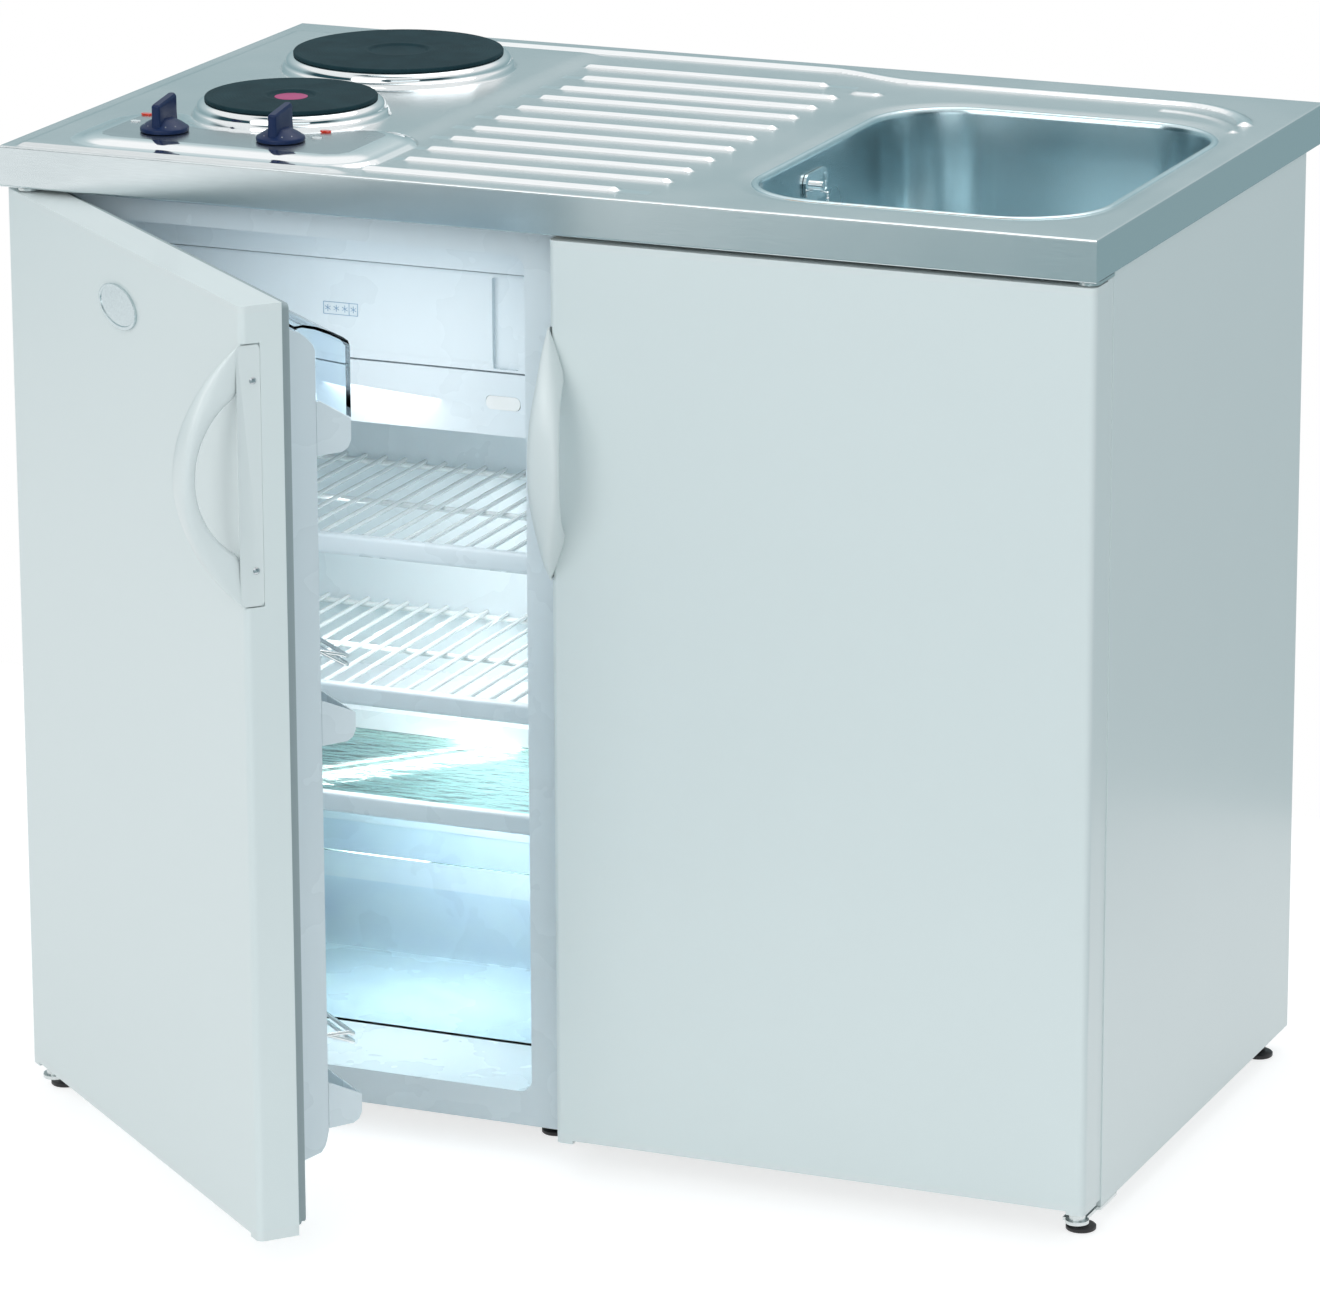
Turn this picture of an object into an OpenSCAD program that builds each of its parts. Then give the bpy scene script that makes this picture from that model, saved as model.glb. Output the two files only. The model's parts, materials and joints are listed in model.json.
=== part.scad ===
// Compact kitchen unit: pressed steel worktop with two hotplates, drainer and
// bowl, an under-counter refrigerator on the left and a cupboard on the right.
// Millimetres, +Z up, front towards -Y, origin on the floor under the middle
// of the unit's outline with the refrigerator door at its stored angle.

/* [Overall] */
// Width of the whole unit
unit_w = 1000; // [960:10:1200]
// Depth of the steel worktop, front to back
top_d = 600; // [580:5:680]
// Height from the floor to the top of the worktop
total_h = 865; // [855:5:920]
// Height of the folded worktop edge
edge_h = 36; // [32:1:44]
// Clear height between the floor and the carcass
foot_h = 20; // [18:1:30]
// Thickness of the worktop steel
sheet_t = 1.2; // [1:0.1:2]
// Thickness of the carcass sheet
case_t = 1; // [0.8:0.1:2]

/* [Bowl and drainer] */
// Distance from the right end to the bowl opening
bowl_side = 38; // [30:1:60]
// Distance from the front edge to the bowl opening
bowl_front = 60; // [58:1:80]
// Width of the bowl opening
bowl_w = 305; // [260:5:320]
// Length of the bowl opening, front to back
bowl_len = 402; // [340:2:410]
// Depth of the bowl
bowl_depth = 150; // [120:5:180]
// Corner radius of the bowl opening
bowl_r = 75; // [50:1:90]
// Radius of the waste hole in the bowl floor
waste_r = 30; // [26:1:36]
// Radius between the bowl's walls and its floor
bowl_foot_r = 24; // [18:1:30]
// Number of drainer ridges
ridge_n = 11; // [7:1:13]
// Width of a drainer ridge
ridge_w = 12; // [8:1:16]
// Height of a drainer ridge
ridge_h = 3; // [2:0.5:4]

/* [Hob] */
// Diameter of the rear cast iron plate
plate_big = 190; // [170:1:194]
// Diameter of the front cast iron plate
plate_small = 152; // [136:1:156]
// Distance from the left end to the middle of the plates
plates_x = 181; // [170:1:190]
// Distance from the front edge to the middle of the front plate
small_y = 204; // [200:1:214]
// Distance between the middles of the two plates
plates_gap = 222; // [200:1:232]
// Height of the plates' cooking face over the worktop
plate_h = 20; // [16:0.5:22]
// Height of the pressed control panel
panel_h = 8; // [6:0.5:10]
// Diameter of a control knob's skirt
knob_d = 42.5; // [36:0.5:46]
// Height of a control knob's grip over the panel
knob_h = 31; // [24:1:38]
// Radius of a knob's spindle
spindle_r = 3; // [2.5:0.1:4]

/* [Refrigerator] */
// Outer width of the refrigerator cabinet
fridge_w = 510; // [500:2:540]
// Depth from the worktop's front edge to the cabinet's front face
front_y = 47; // [46:1:52]
// Distance from the worktop's rear edge to the back of the carcass
back_in = 46; // [25:1:60]
// Width of the wall between cabinet side and food compartment
wall = 37; // [34:1:40]
// Thickness of the inner liner
liner_t = 2.5; // [2:0.1:3.5]
// Height of the front frame above and below the compartment
frame_h = 31; // [28:1:34]
// Depth left for the cooling unit behind the food compartment
machine_d = 154; // [147:1:167]
// Distance from the front face to the shelves and the freezer flap
shelf_set = 75; // [74:1:80]
// Drop from the freezer box to the upper wire shelf
shelf_a = 162; // [154:2:184]
// Drop from the freezer box to the lower wire shelf
shelf_b = 298; // [294:2:314]
// Height of the glass shelf over the compartment floor
shelf_c = 214; // [205:1:222]
// Pitch of the shelf wires
wire_pitch = 20; // [16:1:26]
// Diameter of the shelf wires
wire_d = 4; // [3:0.5:5]
// Height of the freezer flap
flap_h = 86; // [70:1:92]
// Travel of the vegetable drawer
drawer_travel = 45; // [20:1:45]

/* [Doors] */
// Angle at which the refrigerator door stands open
door_open = 40.7; // [25:0.1:60]
// Thickness of the refrigerator door's outer pan
door_t_left = 37; // [34:0.5:38]
// Thickness of the cupboard door's outer pan
door_t_right = 31; // [28:0.5:34]
// Gap between the two doors and round them
door_gap = 4; // [3.5:0.1:6]
// Distance from the left door's hinge edge to its hinge axis
pivot_x = 22; // [20:0.5:24]
// Distance from the right door's hinge edge to its hinge axis
pivot_right = 10; // [9.6:0.1:12]
// Distance from a door's face to its hinge axis
pivot_y = 12; // [11:0.5:14]
// Radius of a hinge pin
pin_r = 4; // [3:0.1:5]
// Projection of a door handle
handle_out = 52; // [40:1:56]
// Length of a door handle
handle_l = 220; // [180:2:240]
// Width of a door handle on the door's face
handle_w = 28; // [22:1:34]
// Drop from the left door's top edge to its handle
handle_drop_left = 31; // [20:1:60]
// Drop from the right door's top edge to its handle
handle_drop_right = 74; // [40:1:120]
// Reach of the door liner's side ridges behind the door's face
ridge_reach = 88; // [80:1:90]
// Reach of the door bins behind the door's face
bin_reach = 119; // [106:1:119]

/* [Feet] */
// Radius of a levelling foot's disc
foot_r = 13; // [11:0.5:16]
// Radius of a levelling foot's stem
stem_r = 4; // [3:0.1:5]
// Distance from the unit's sides to the outer feet
foot_in = 17; // [15:0.5:24]
// Distance from the worktop's front edge to the front outer feet
foot_front = 42; // [40:0.5:46]

/* [Hidden] */
eps = 0.01;
sunk = 0.2;
clear = 0.3;
run = 0.05;
lip_z = total_h - edge_h;
door_top = lip_z - door_gap;
door_bot = foot_h + 10;
door_hh = door_top - door_bot;
door_w_left = fridge_w + 2;
door_x_right = door_w_left + door_gap;
door_w_right = unit_w - door_x_right;
side_in = 1;
frame_y = door_t_right + 3;
bowl_x1 = unit_w - bowl_side;
bowl_x0 = bowl_x1 - bowl_w;
bowl_y1 = bowl_front + bowl_len;
bowl_cx = (bowl_x0 + bowl_x1) / 2;
bowl_cy = (bowl_front + bowl_y1) / 2;
bowl_z = total_h - bowl_depth;
hob_x1 = 306;
field_h = 3;
collar_h = 5.5;
panel_lip = 3.5;
big_y = small_y + plates_gap;
under_z = total_h - sheet_t;
rear_y = top_d - 28;
rear_drop = 27;
rear_r = 88;
rear_x0 = 200;
rear_a = bowl_x0 - 117;
rear_b = bowl_x0 - 17;
rear_c = bowl_x1 - 82;
knob_y = 73.5;
knob_xa = plates_x - 58;
knob_xb = plates_x + 53;
small_scoop = plate_small / 2 + 8.5;
lamp_at = [[plates_x - 104, 130], [plates_x + 73, 121]];
mark_at = [[plates_x - 100, 101], [plates_x + 77, 95]];
open_x0 = wall + 2;
open_x1 = fridge_w - wall;
open_z0 = foot_h + frame_h;
open_z1 = lip_z - frame_h;
back_y = top_d - back_in;
room_y1 = back_y - machine_d;
hump_y = room_y1 - 46;
hump_z = open_z0 + shelf_c + 16;
shelf_y = front_y + shelf_set;
ledge = 7;
ledge_d = 6;
freezer_z0 = open_z1 - 37 - flap_h;
upper_z = freezer_z0 - shelf_a;
lower_z = freezer_z0 - shelf_b;
lamp_z = upper_z + 24;
flap_pin = 2.2;
niche_y = hump_y + 44;
niche_z = hump_z - 40;
cond_y = back_y - 38;
wing = 17;
wing_t = 2.2;
reach_out = (door_w_left - pivot_x - handle_w / 2) * sin(door_open)
          + (handle_out - handle_w / 2 + pivot_y) * cos(door_open)
          + handle_w / 2 - pivot_y;
mid_y = (top_d - reach_out) / 2;
mid_foot = [fridge_w - 34, 93];
rear_foot_y = back_y - 34;
stem_top = foot_h + 5;
plate_t = 3;
sleeve_h = 10;
liner_x0 = pivot_x + 28;
liner_x1 = door_w_left - 52;
bin_top = door_top - 99.5;
bin_front = bin_top - 17.5;
bin_floor = bin_top - 48.5;
bin_floors = [door_bot + 399.5, door_bot + 64];
bin_tall = [40.5, 42];
bin_dip = [12.5, 13.5];
lid_y = ridge_reach - 22;
lid_z = door_top - 43;
lid_pin = 1.8;
rail_r = 1.8;
rail_ends = [door_bot + 481.6, door_bot + 147.2];
rail_drop = [14.6, 10.2];
pipe_r = 20;
spigot_l = 30;
pipe_z = bowl_z - 110;

// ---------- helpers ----------

module place() {
    translate([-unit_w / 2, -mid_y, 0]) children();
}

module box(x0, x1, y0, y1, z0, z1) {
    translate([x0, y0, z0]) cube([x1 - x0, y1 - y0, z1 - z0]);
}

module round_rect(x0, x1, y0, y1, r) {
    translate([x0 + r, y0]) square([x1 - x0 - 2 * r, y1 - y0]);
    translate([x0, y0 + r]) square([x1 - x0, y1 - y0 - 2 * r]);
    for (x = [x0 + r, x1 - r])
        for (y = [y0 + r, y1 - r])
            translate([x, y]) circle(r = r);
}

// Extrudes a Y-Z outline along X.
module prism_x(x0, x1) {
    translate([x0, 0, 0])
        rotate([90, 0, 90])
            linear_extrude(height = x1 - x0) children();
}

// Extrudes an X-Z outline along Y.
module prism_y(y0, y1) {
    translate([0, y1, 0])
        rotate([90, 0, 0])
            linear_extrude(height = y1 - y0) children();
}

// A pressed bead along X: sloped sides, flat crown and rounded ends.
module bead(x0, x1, w, h) {
    foot = w / 2;
    crown = w * 0.2;
    for (x = [x0 + foot, x1 - foot])
        translate([x, 0, -sunk]) cylinder(r1 = foot, r2 = crown, h = h + sunk);
    prism_x(x0 + foot, x1 - foot)
        polygon([[-foot, -sunk], [foot, -sunk], [crown, h], [-crown, h]]);
}

module rod(p, q, r, sides = 8) {
    d = q - p;
    l = norm(d);
    translate(p)
        rotate([0, acos(d[2] / l), atan2(d[1], d[0])])
            cylinder(r = r, h = l, $fn = sides);
}

// ---------- worktop ----------

// One tier of the control panel pressing: sloped sides, rounded lobes, and a
// scoop behind that follows the front plate.
module panel_tier(inset, z, h, slope) {
    x0 = plates_x - 135 + inset;
    x1 = plates_x + 155 - inset;
    y0 = 10 + inset;
    y1 = 165 - inset * 0.4;
    rf = 56 - inset;
    rb = 44 - inset;
    translate([0, 0, z]) difference() {
        union() {
            for (x = [x0 + rf, x1 - rf]) translate([x, y0 + rf, 0])
                cylinder(r1 = rf, r2 = rf - slope, h = h);
            for (x = [x0 + rb, x1 - rb]) translate([x, y1 - rb, 0])
                cylinder(r1 = rb, r2 = rb - slope, h = h);
            prism_x(x0 + rf, x1 - rf)
                polygon([[y0, 0], [y1, 0], [y1 - slope, h], [y0 + slope, h]]);
            prism_x(x0 + rb, x1 - rb)
                polygon([[y0 + rf, 0], [y1, 0], [y1 - slope, h], [y0 + rf, h]]);
            prism_y(y0 + rf, y1 - rb)
                polygon([[x0, 0], [x1, 0], [x1 - slope, h], [x0 + slope, h]]);
        }
        translate([plates_x, small_y, 0])
            cylinder(r1 = small_scoop + inset, r2 = small_scoop + inset + slope, h = h + eps);
    }
}

// Rounded rectangle that widens upward by a slope on every side.
module flare(x0, x1, y0, y1, r, z, h, slope) {
    for (x = [x0 + r, x1 - r]) for (y = [y0 + r, y1 - r])
        translate([x, y, z]) cylinder(r1 = r - slope, r2 = r, h = h);
    prism_x(x0 + r, x1 - r)
        polygon([[y0 + slope, z], [y1 - slope, z], [y1, z + h], [y0, z + h]]);
    prism_y(y0 + r, y1 - r)
        polygon([[x0 + slope, z], [x1 - slope, z], [x1, z + h], [x0, z + h]]);
}

// The bowl's hollow, or its outside when grown by the sheet's thickness.
module bowl_form(grow, top) {
    x0 = bowl_x0 - grow;
    x1 = bowl_x1 + grow;
    y0 = bowl_front - grow;
    y1 = bowl_y1 + grow;
    r = bowl_r + grow;
    z0 = bowl_z - grow;
    in1 = bowl_foot_r * 0.3;
    in2 = bowl_foot_r * 0.5;
    translate([0, 0, z0]) {
        translate([0, 0, bowl_foot_r])
            linear_extrude(height = top - z0 - bowl_foot_r) round_rect(x0, x1, y0, y1, r);
        flare(x0, x1, y0, y1, r, in1, bowl_foot_r - in1, in1);
        flare(x0 + in1, x1 - in1, y0 + in1, y1 - in1, r - in1, 0, in1, in2);
    }
}

// Depth of the rear bead at a given width: straight, an easy step forward,
// straight again, then round the bowl's corner.
function rear_line(x) =
    x < rear_a ? rear_y :
    x < rear_b ? rear_y - rear_drop * (1 - cos(180 * (x - rear_a) / (rear_b - rear_a))) / 2 :
    x < rear_c ? rear_y - rear_drop :
    rear_y - rear_drop - rear_r * (1 - sqrt(1 - pow((x - rear_c) / rear_r, 2)));

rear_xs = concat([rear_x0, (rear_x0 + rear_a) / 2],
    [for (i = [0 : 8]) rear_a + (rear_b - rear_a) * i / 8],
    [for (i = [0 : 8]) rear_c + rear_r * sin(i * 9)]);
rear_path = [for (x = rear_xs) [x, rear_line(x)]];

function unit(v) = v / norm(v);
function side_of(path, i) =
    let (a = path[max(i - 1, 0)], b = path[min(i + 1, len(path) - 1)], d = unit(b - a))
    [-d[1], d[0]];

// Flat ribbon of a given width along a path.
module ribbon(path, w) {
    n = len(path) - 1;
    polygon(concat(
        [for (i = [0 : n]) path[i] + side_of(path, i) * w / 2],
        [for (i = [n : -1 : 0]) path[i] - side_of(path, i) * w / 2]));
}

module worktop() color([0.76, 0.81, 0.82]) place() {
    big_hole = plate_big / 2 - 8;
    small_hole = plate_small / 2 - 8;
    ridge_x0 = hob_x1 + 43;
    ridge_x1 = bowl_x0 - 60;
    pitch = (top_d - 106) / ridge_n * 1.053;
    difference() {
        union() {
            translate([0, 0, under_z]) linear_extrude(height = sheet_t)
                square([unit_w, top_d]);
            // raised hob field with its sloped border
            intersection() {
                prism_y(8, top_d - 38)
                    polygon([[13, total_h], [hob_x1 + 30, total_h],
                        [hob_x1, total_h + field_h], [20, total_h + field_h]]);
                prism_x(10, hob_x1 + 32)
                    polygon([[8, total_h], [top_d - 38, total_h],
                        [top_d - 46, total_h + field_h], [30, total_h + field_h]]);
            }
            // pressed collars round the plates
            for (p = [[big_y, plate_big], [small_y, plate_small]])
                translate([plates_x, p[0], total_h + field_h - eps])
                    cylinder(r1 = p[1] / 2 + 10, r2 = p[1] / 2 + 7.5, h = collar_h + eps);
            // control panel pressing
            panel_tier(0, total_h, panel_lip, 3);
            panel_tier(6, total_h + panel_lip - 0.1, panel_h - panel_lip + 0.1, 18);
            // drainer ridges
            for (i = [0 : ridge_n - 1]) {
                short = (i == 0 || i == ridge_n - 1) ? 1 : 0;
                translate([0, 22 + i * pitch, total_h])
                    bead(ridge_x0 - 18 * short, ridge_x1 - 30 * short,
                        ridge_w, ridge_h);
            }
            translate([0, 22 + (ridge_n - 1) * pitch - 24, total_h])
                bead(ridge_x1 + 2, ridge_x1 + 36, ridge_w, ridge_h);
            translate([0, 0, total_h - 0.2]) {
                linear_extrude(height = 1.7) ribbon(rear_path, 13);
                linear_extrude(height = 3) ribbon(rear_path, 7);
            }
            // rolled rim round the bowl
            translate([0, 0, total_h]) linear_extrude(height = 1.2)
                difference() {
                    round_rect(bowl_x0 - 9, bowl_x1 + 6, bowl_front - 6,
                        bowl_y1 + 9, bowl_r + 8);
                    round_rect(bowl_x0 - 1, bowl_x1 + 1, bowl_front - 1,
                        bowl_y1 + 1, bowl_r + 1);
                }
            // folded edges, with a return along the front
            box(0, unit_w, 0, sheet_t, lip_z, total_h);
            box(0, unit_w, top_d - sheet_t, top_d, lip_z, total_h);
            box(0, sheet_t, 0, top_d, lip_z, total_h);
            box(unit_w - sheet_t, unit_w, 0, top_d, lip_z, total_h);
            box(0, unit_w, 0, 14, lip_z, lip_z + sheet_t);
        }
        bowl_form(0, total_h + 20);
        translate([plates_x, big_y, lip_z]) cylinder(r = big_hole, h = 60);
        translate([plates_x, small_y, lip_z]) cylinder(r = small_hole, h = 60);
        for (x = [knob_xa, knob_xb])
            translate([x, knob_y, lip_z])
                cylinder(r = spindle_r + 1.5, h = edge_h + 20);
        for (p = lamp_at)
            translate([p[0] - 4, p[1] - 2, lip_z]) cube([8, 4, 60]);
    }
}

// Welded bowl, closed against the underside of the worktop's opening.
module sink_bowl() color([0.72, 0.77, 0.78]) place() difference() {
    bowl_form(sheet_t, under_z);
    bowl_form(0, total_h + 20);
    translate([bowl_cx, bowl_cy, bowl_z - 20]) cylinder(r = waste_r, h = 60);
    translate([bowl_x0 - 12, bowl_cy, total_h - 30]) rotate([0, 90, 0])
        cylinder(r = 12, h = 40);
}

module top_frame() color([0.72, 0.6, 0.44]) place() {
    x0 = sheet_t + 2;
    x1 = unit_w - sheet_t - 2;
    y0 = front_y + 1;
    y1 = back_y - 2;
    difference() {
        box(x0, x1, y0, y1, lip_z, under_z);
        box(x0 + 16, hob_x1 + 4, y0 + 9, y1 - 18, lip_z - 1, total_h);
        box(hob_x1 + 22, x1 - 16, y0 + 9, y1 - 18, lip_z - 1, total_h);
        // room for the plates' undersides
        for (p = [[big_y, plate_big], [small_y, plate_small]])
            translate([plates_x, p[0], total_h - 11])
                cylinder(r = p[1] / 2 - 6, h = 12);
    }
}

// ---------- hob ----------

module plate(d) {
    r = d / 2;
    difference() {
        rotate_extrude()
            polygon([[0, -9], [14, -9], [14, -4], [r - 12, -4],
                [r - 12, -9], [r - 9, -9], [r - 9, plate_h - 3.5],
                [r, plate_h - 3.5], [r, plate_h - 0.8],
                [r - 0.8, plate_h], [0, plate_h]]);
        translate([0, 0, plate_h - 1.8])
            cylinder(r1 = d * 0.103, r2 = d * 0.113, h = 2);
    }
}

module plate_rear() color([0.13, 0.16, 0.18]) place()
    translate([plates_x, big_y, total_h]) plate(plate_big);

module plate_front() color([0.13, 0.16, 0.18]) place()
    translate([plates_x, small_y, total_h]) plate(plate_small);

module plate_ring(d) {
    r = d / 2;
    top = plate_h - 3.5;
    base = field_h + collar_h;
    rotate_extrude()
        polygon([[r - 8.7, base], [r + 3.5, base], [r + 3.5, base + 1.5],
            [r + 2.6, top - 0.8], [r + 1.6, top], [r - 8.7, top]]);
}

module ring_rear() color([0.85, 0.87, 0.88]) place()
    translate([plates_x, big_y, total_h]) plate_ring(plate_big);

module ring_front() color([0.85, 0.87, 0.88]) place()
    translate([plates_x, small_y, total_h]) plate_ring(plate_small);

module knob() {
    r = knob_d / 2;
    bar = 8.5;
    len = knob_d * 0.8;
    difference() {
        union() {
            rotate_extrude()
                polygon([[0, 0.4], [r - 0.6, 0.4], [r, 1.2], [r, 3],
                    [r - 1.5, 4.4], [r * 0.62, 9], [r * 0.5, 9.6], [0, 9.6]]);
            intersection() {
                translate([0, 0, 6]) linear_extrude(height = knob_h - 6)
                    round_rect(-bar / 2, bar / 2, -len / 2, len / 2, 2);
                prism_x(-bar, bar)
                    polygon([[-len / 2, 5], [len / 2, 5],
                        [len / 2, knob_h - 1], [len / 2 - 2, knob_h],
                        [len / 2 - 6, knob_h], [-len / 2 + 3, knob_h - 6],
                        [-len / 2, knob_h - 9]]);
            }
        }
        translate([0, 0, -1]) cylinder(r = spindle_r + run, h = 9);
    }
}

module knob_left() color([0.2, 0.23, 0.4]) place()
    translate([knob_xa, knob_y, total_h + panel_h]) knob();

module knob_right() color([0.2, 0.23, 0.4]) place()
    translate([knob_xb, knob_y, total_h + panel_h]) knob();

module spindle() {
    translate([0, 0, -panel_h - 9]) cylinder(r = spindle_r, h = panel_h + 17);
}

module spindles() color("silver") place()
    for (x = [knob_xa, knob_xb]) translate([x, knob_y, total_h + panel_h]) spindle();

module regulators() color([0.85, 0.85, 0.82]) place() {
    top = under_z;
    for (x = [knob_xa, knob_xb]) translate([x, knob_y, 0]) difference() {
        union() {
            box(-22, 22, -8, 34, lip_z + 3, top - 8);
            translate([0, 0, top - 8]) cylinder(r = 8, h = 8);
            for (i = [-1 : 1]) box(i * 12 - 3, i * 12 + 3, 34, 41, lip_z + 8, lip_z + 9);
        }
        translate([0, 0, total_h - 9.5])
            cylinder(r = spindle_r + run, h = 30);
    }
}

module pill(l, w, h) {
    linear_extrude(height = h) {
        translate([-l / 2 + w / 2, 0]) circle(r = w / 2);
        translate([l / 2 - w / 2, 0]) circle(r = w / 2);
        translate([-l / 2 + w / 2, -w / 2]) square([l - w, w]);
    }
}

module lamp_lenses() color([0.85, 0.12, 0.1]) place()
    for (p = lamp_at)
        translate([p[0], p[1], total_h + panel_h]) {
            pill(10, 5.5, 1.4);
            translate([-3.5, -1.6, -12]) cube([7, 3.2, 12.2]);
        }

module mark_lenses() color([0.93, 0.94, 0.94]) place()
    for (p = mark_at)
        translate([p[0], p[1], total_h + panel_h]) pill(9, 6, 0.8);

// ---------- sink fittings ----------

module waste_fitting() color("silver") place()
    translate([bowl_cx, bowl_cy, bowl_z]) difference() {
        rotate_extrude()
            polygon([[22.5, 1.2], [38, 1.2], [39, 0.4], [39, 0],
                [waste_r - 0.3, 0], [waste_r - 0.3, -14], [pipe_r, -24],
                [pipe_r, -56], [pipe_r - 2, -56], [pipe_r - 2, -24],
                [22.5, -14]]);
    }

module plug() color([0.12, 0.12, 0.13]) place()
    translate([bowl_cx, bowl_cy, bowl_z]) {
        rotate_extrude()
            polygon([[0, -9], [20, -9], [22, 1.3], [25.5, 1.6],
                [25.5, 3], [21, 5.5], [6, 5.5], [5, 8], [0, 8]]);
        // end of the chain, lying over the plug
        rod([-3.4, 0, 11], [-21, -2, 8.4], 0.7, 4);
        for (i = [0 : 2]) translate([-9 - 5.6 * i, -0.6 * i, 10.6 - i])
            sphere(r = 1.7, $fn = 6);
        // pierced lug for the chain
        translate([0, 1.5, 10]) rotate([90, 0, 0]) difference() {
            cylinder(r = 5, h = 3);
            translate([0, 1, -1]) cylinder(r = 2, h = 5);
        }
    }

module overflow_plate() color("silver") place() {
    x = bowl_x0 + 1.6;
    difference() {
        union() {
            translate([x, bowl_cy - 20, total_h - 30]) rotate([0, 90, 0])
                linear_extrude(height = 2.5)
                    round_rect(-13, 13, -25, 25, 8);
            translate([x + 2, bowl_cy - 20, total_h - 30])
                rotate([0, 90, 0]) cylinder(r = 4, h = 7);
            translate([bowl_x0 - 20, bowl_cy, total_h - 30])
                rotate([0, 90, 0]) cylinder(r = 11, h = 22);
        }
        translate([bowl_x0 - 18, bowl_cy, total_h - 30])
            rotate([0, 90, 0]) cylinder(r = 8, h = 30);
        for (s = [-30, -26.5])
            translate([x + 6.5, bowl_cy + s + 8.2, total_h - 30])
                rotate([0, 90, 0]) cylinder(r = 0.6, h = 4);
    }
}

function chain_run(p, q, pitch) =
    let (n = floor(norm(q - p) / pitch)) [
        for (i = [0 : n]) p + (q - p) * i / n
    ];

// Balls on a fine wire: down the bowl wall, then across its floor.
module ball_chain() color("silver") place() {
    a = [bowl_x0 + 14, bowl_cy - 20, total_h - 36];
    b = [bowl_x0 + 17, bowl_cy - 20, bowl_z + 30];
    c = [bowl_x0 + 46, bowl_cy - 16, bowl_z + 2.8];
    d = [bowl_cx - 30, bowl_cy - 4, bowl_z + 2.8];
    for (s = [[a, b], [b, c], [c, d]]) {
        rod(s[0], s[1], 0.7, 4);
        for (p = chain_run(s[0], s[1], 6)) translate(p) sphere(r = 1.7, $fn = 6);
    }
    rod(a, [bowl_x0 + 9, bowl_cy - 20, total_h - 34.3], 0.7, 4);
}

module bottle_trap() color([0.92, 0.93, 0.93]) place() {
    x = bowl_cx;
    y = bowl_cy;
    difference() {
        union() {
            translate([x, y, bowl_z - 62])
                cylinder(r = pipe_r + 7, h = 32);
            translate([x, y, bowl_z - 80]) cylinder(r = pipe_r, h = 24);
            translate([x, y, bowl_z - 150]) cylinder(r = 34, h = 70);
            translate([x, y, bowl_z - 158]) cylinder(r = 38, h = 14);
            translate([x, y, pipe_z]) rotate([-90, 0, 0])
                cylinder(r = pipe_r + 1.5, h = back_y + 2 - y);
            // plain spigot behind the carcass
            translate([x, back_y, pipe_z]) rotate([-90, 0, 0])
                cylinder(r = pipe_r, h = spigot_l + 2);
            translate([x, y + 34, pipe_z]) rotate([-90, 0, 0])
                cylinder(r = pipe_r + 6, h = 18);
        }
        translate([x, y, bowl_z - 56.5]) cylinder(r = pipe_r + clear, h = 30);
        translate([x, y, bowl_z - 146]) cylinder(r = pipe_r - 3, h = 100);
        translate([x, y, pipe_z]) rotate([-90, 0, 0])
            cylinder(r = pipe_r - 2.5, h = back_y + 2 * spigot_l - y);
    }
}

// ---------- refrigerator cabinet ----------

module stepped(y0, y1, ny, nz, z0, z1) {
    polygon([[y0, z0], [ny, z0], [ny, nz], [ny + 44, nz + 30],
        [y1, nz + 30], [y1, z1], [y0, z1]]);
}

module fridge_case() color([0.88, 0.92, 0.92]) place() {
    x0 = side_in;
    x1 = fridge_w;
    y0 = front_y + liner_t;
    difference() {
        union() {
            prism_x(x0, x1) stepped(y0, cond_y, niche_y, niche_z, foot_h, lip_z);
            box(x0, x0 + case_t, y0, back_y, foot_h, lip_z);
            box(x1 - case_t, x1, y0, back_y, foot_h, lip_z);
        }
        prism_x(x0 + case_t, x1 - case_t)
            stepped(y0 - 5, cond_y - case_t, niche_y - case_t,
                niche_z + case_t, foot_h + case_t, lip_z - case_t);
        translate([mid_foot[0], mid_foot[1], foot_h - 1])
            cylinder(r = stem_r + run, h = 10);
    }
    translate([mid_foot[0], mid_foot[1], foot_h]) difference() {
        cylinder(r = 9, h = sleeve_h);
        translate([0, 0, -1]) cylinder(r = stem_r + run, h = 30);
    }
}

module fridge_liner() color([0.86, 0.93, 0.95]) place() {
    t = liner_t;
    difference() {
        union() {
            // front flange, with the foamed frame behind it
            box(side_in, fridge_w, front_y, front_y + t, foot_h, lip_z);
            prism_x(open_x0 - t, open_x1 + t)
                stepped(front_y, room_y1 + t, hump_y + t, hump_z - t,
                    open_z0 - t, open_z1 + t);
        }
        // the food compartment, with a rounded mouth
        prism_x(open_x0, open_x1)
            stepped(front_y + 12, room_y1, hump_y, hump_z, open_z0, open_z1);
        prism_y(front_y - 1, front_y + 12.1)
            round_rect(open_x0, open_x1, open_z0, open_z1, 12);
    }
    // moulded ledges that carry the shelves
    for (z = [upper_z - wire_d * 2.25, lower_z - wire_d * 2.25])
        for (x = [open_x0, open_x1 - ledge])
            box(x - (x == open_x0 ? 1 : 0), x + ledge + (x == open_x0 ? 0 : 1),
                shelf_y + 12, room_y1 + 1, z - ledge_d, z);
    for (x = [open_x0, open_x1 - ledge])
        box(x - (x == open_x0 ? 1 : 0), x + ledge + (x == open_x0 ? 0 : 1),
            shelf_y + 12, hump_y + 1,
            open_z0 + shelf_c - 6 - ledge_d, open_z0 + shelf_c - 6);
}

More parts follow.
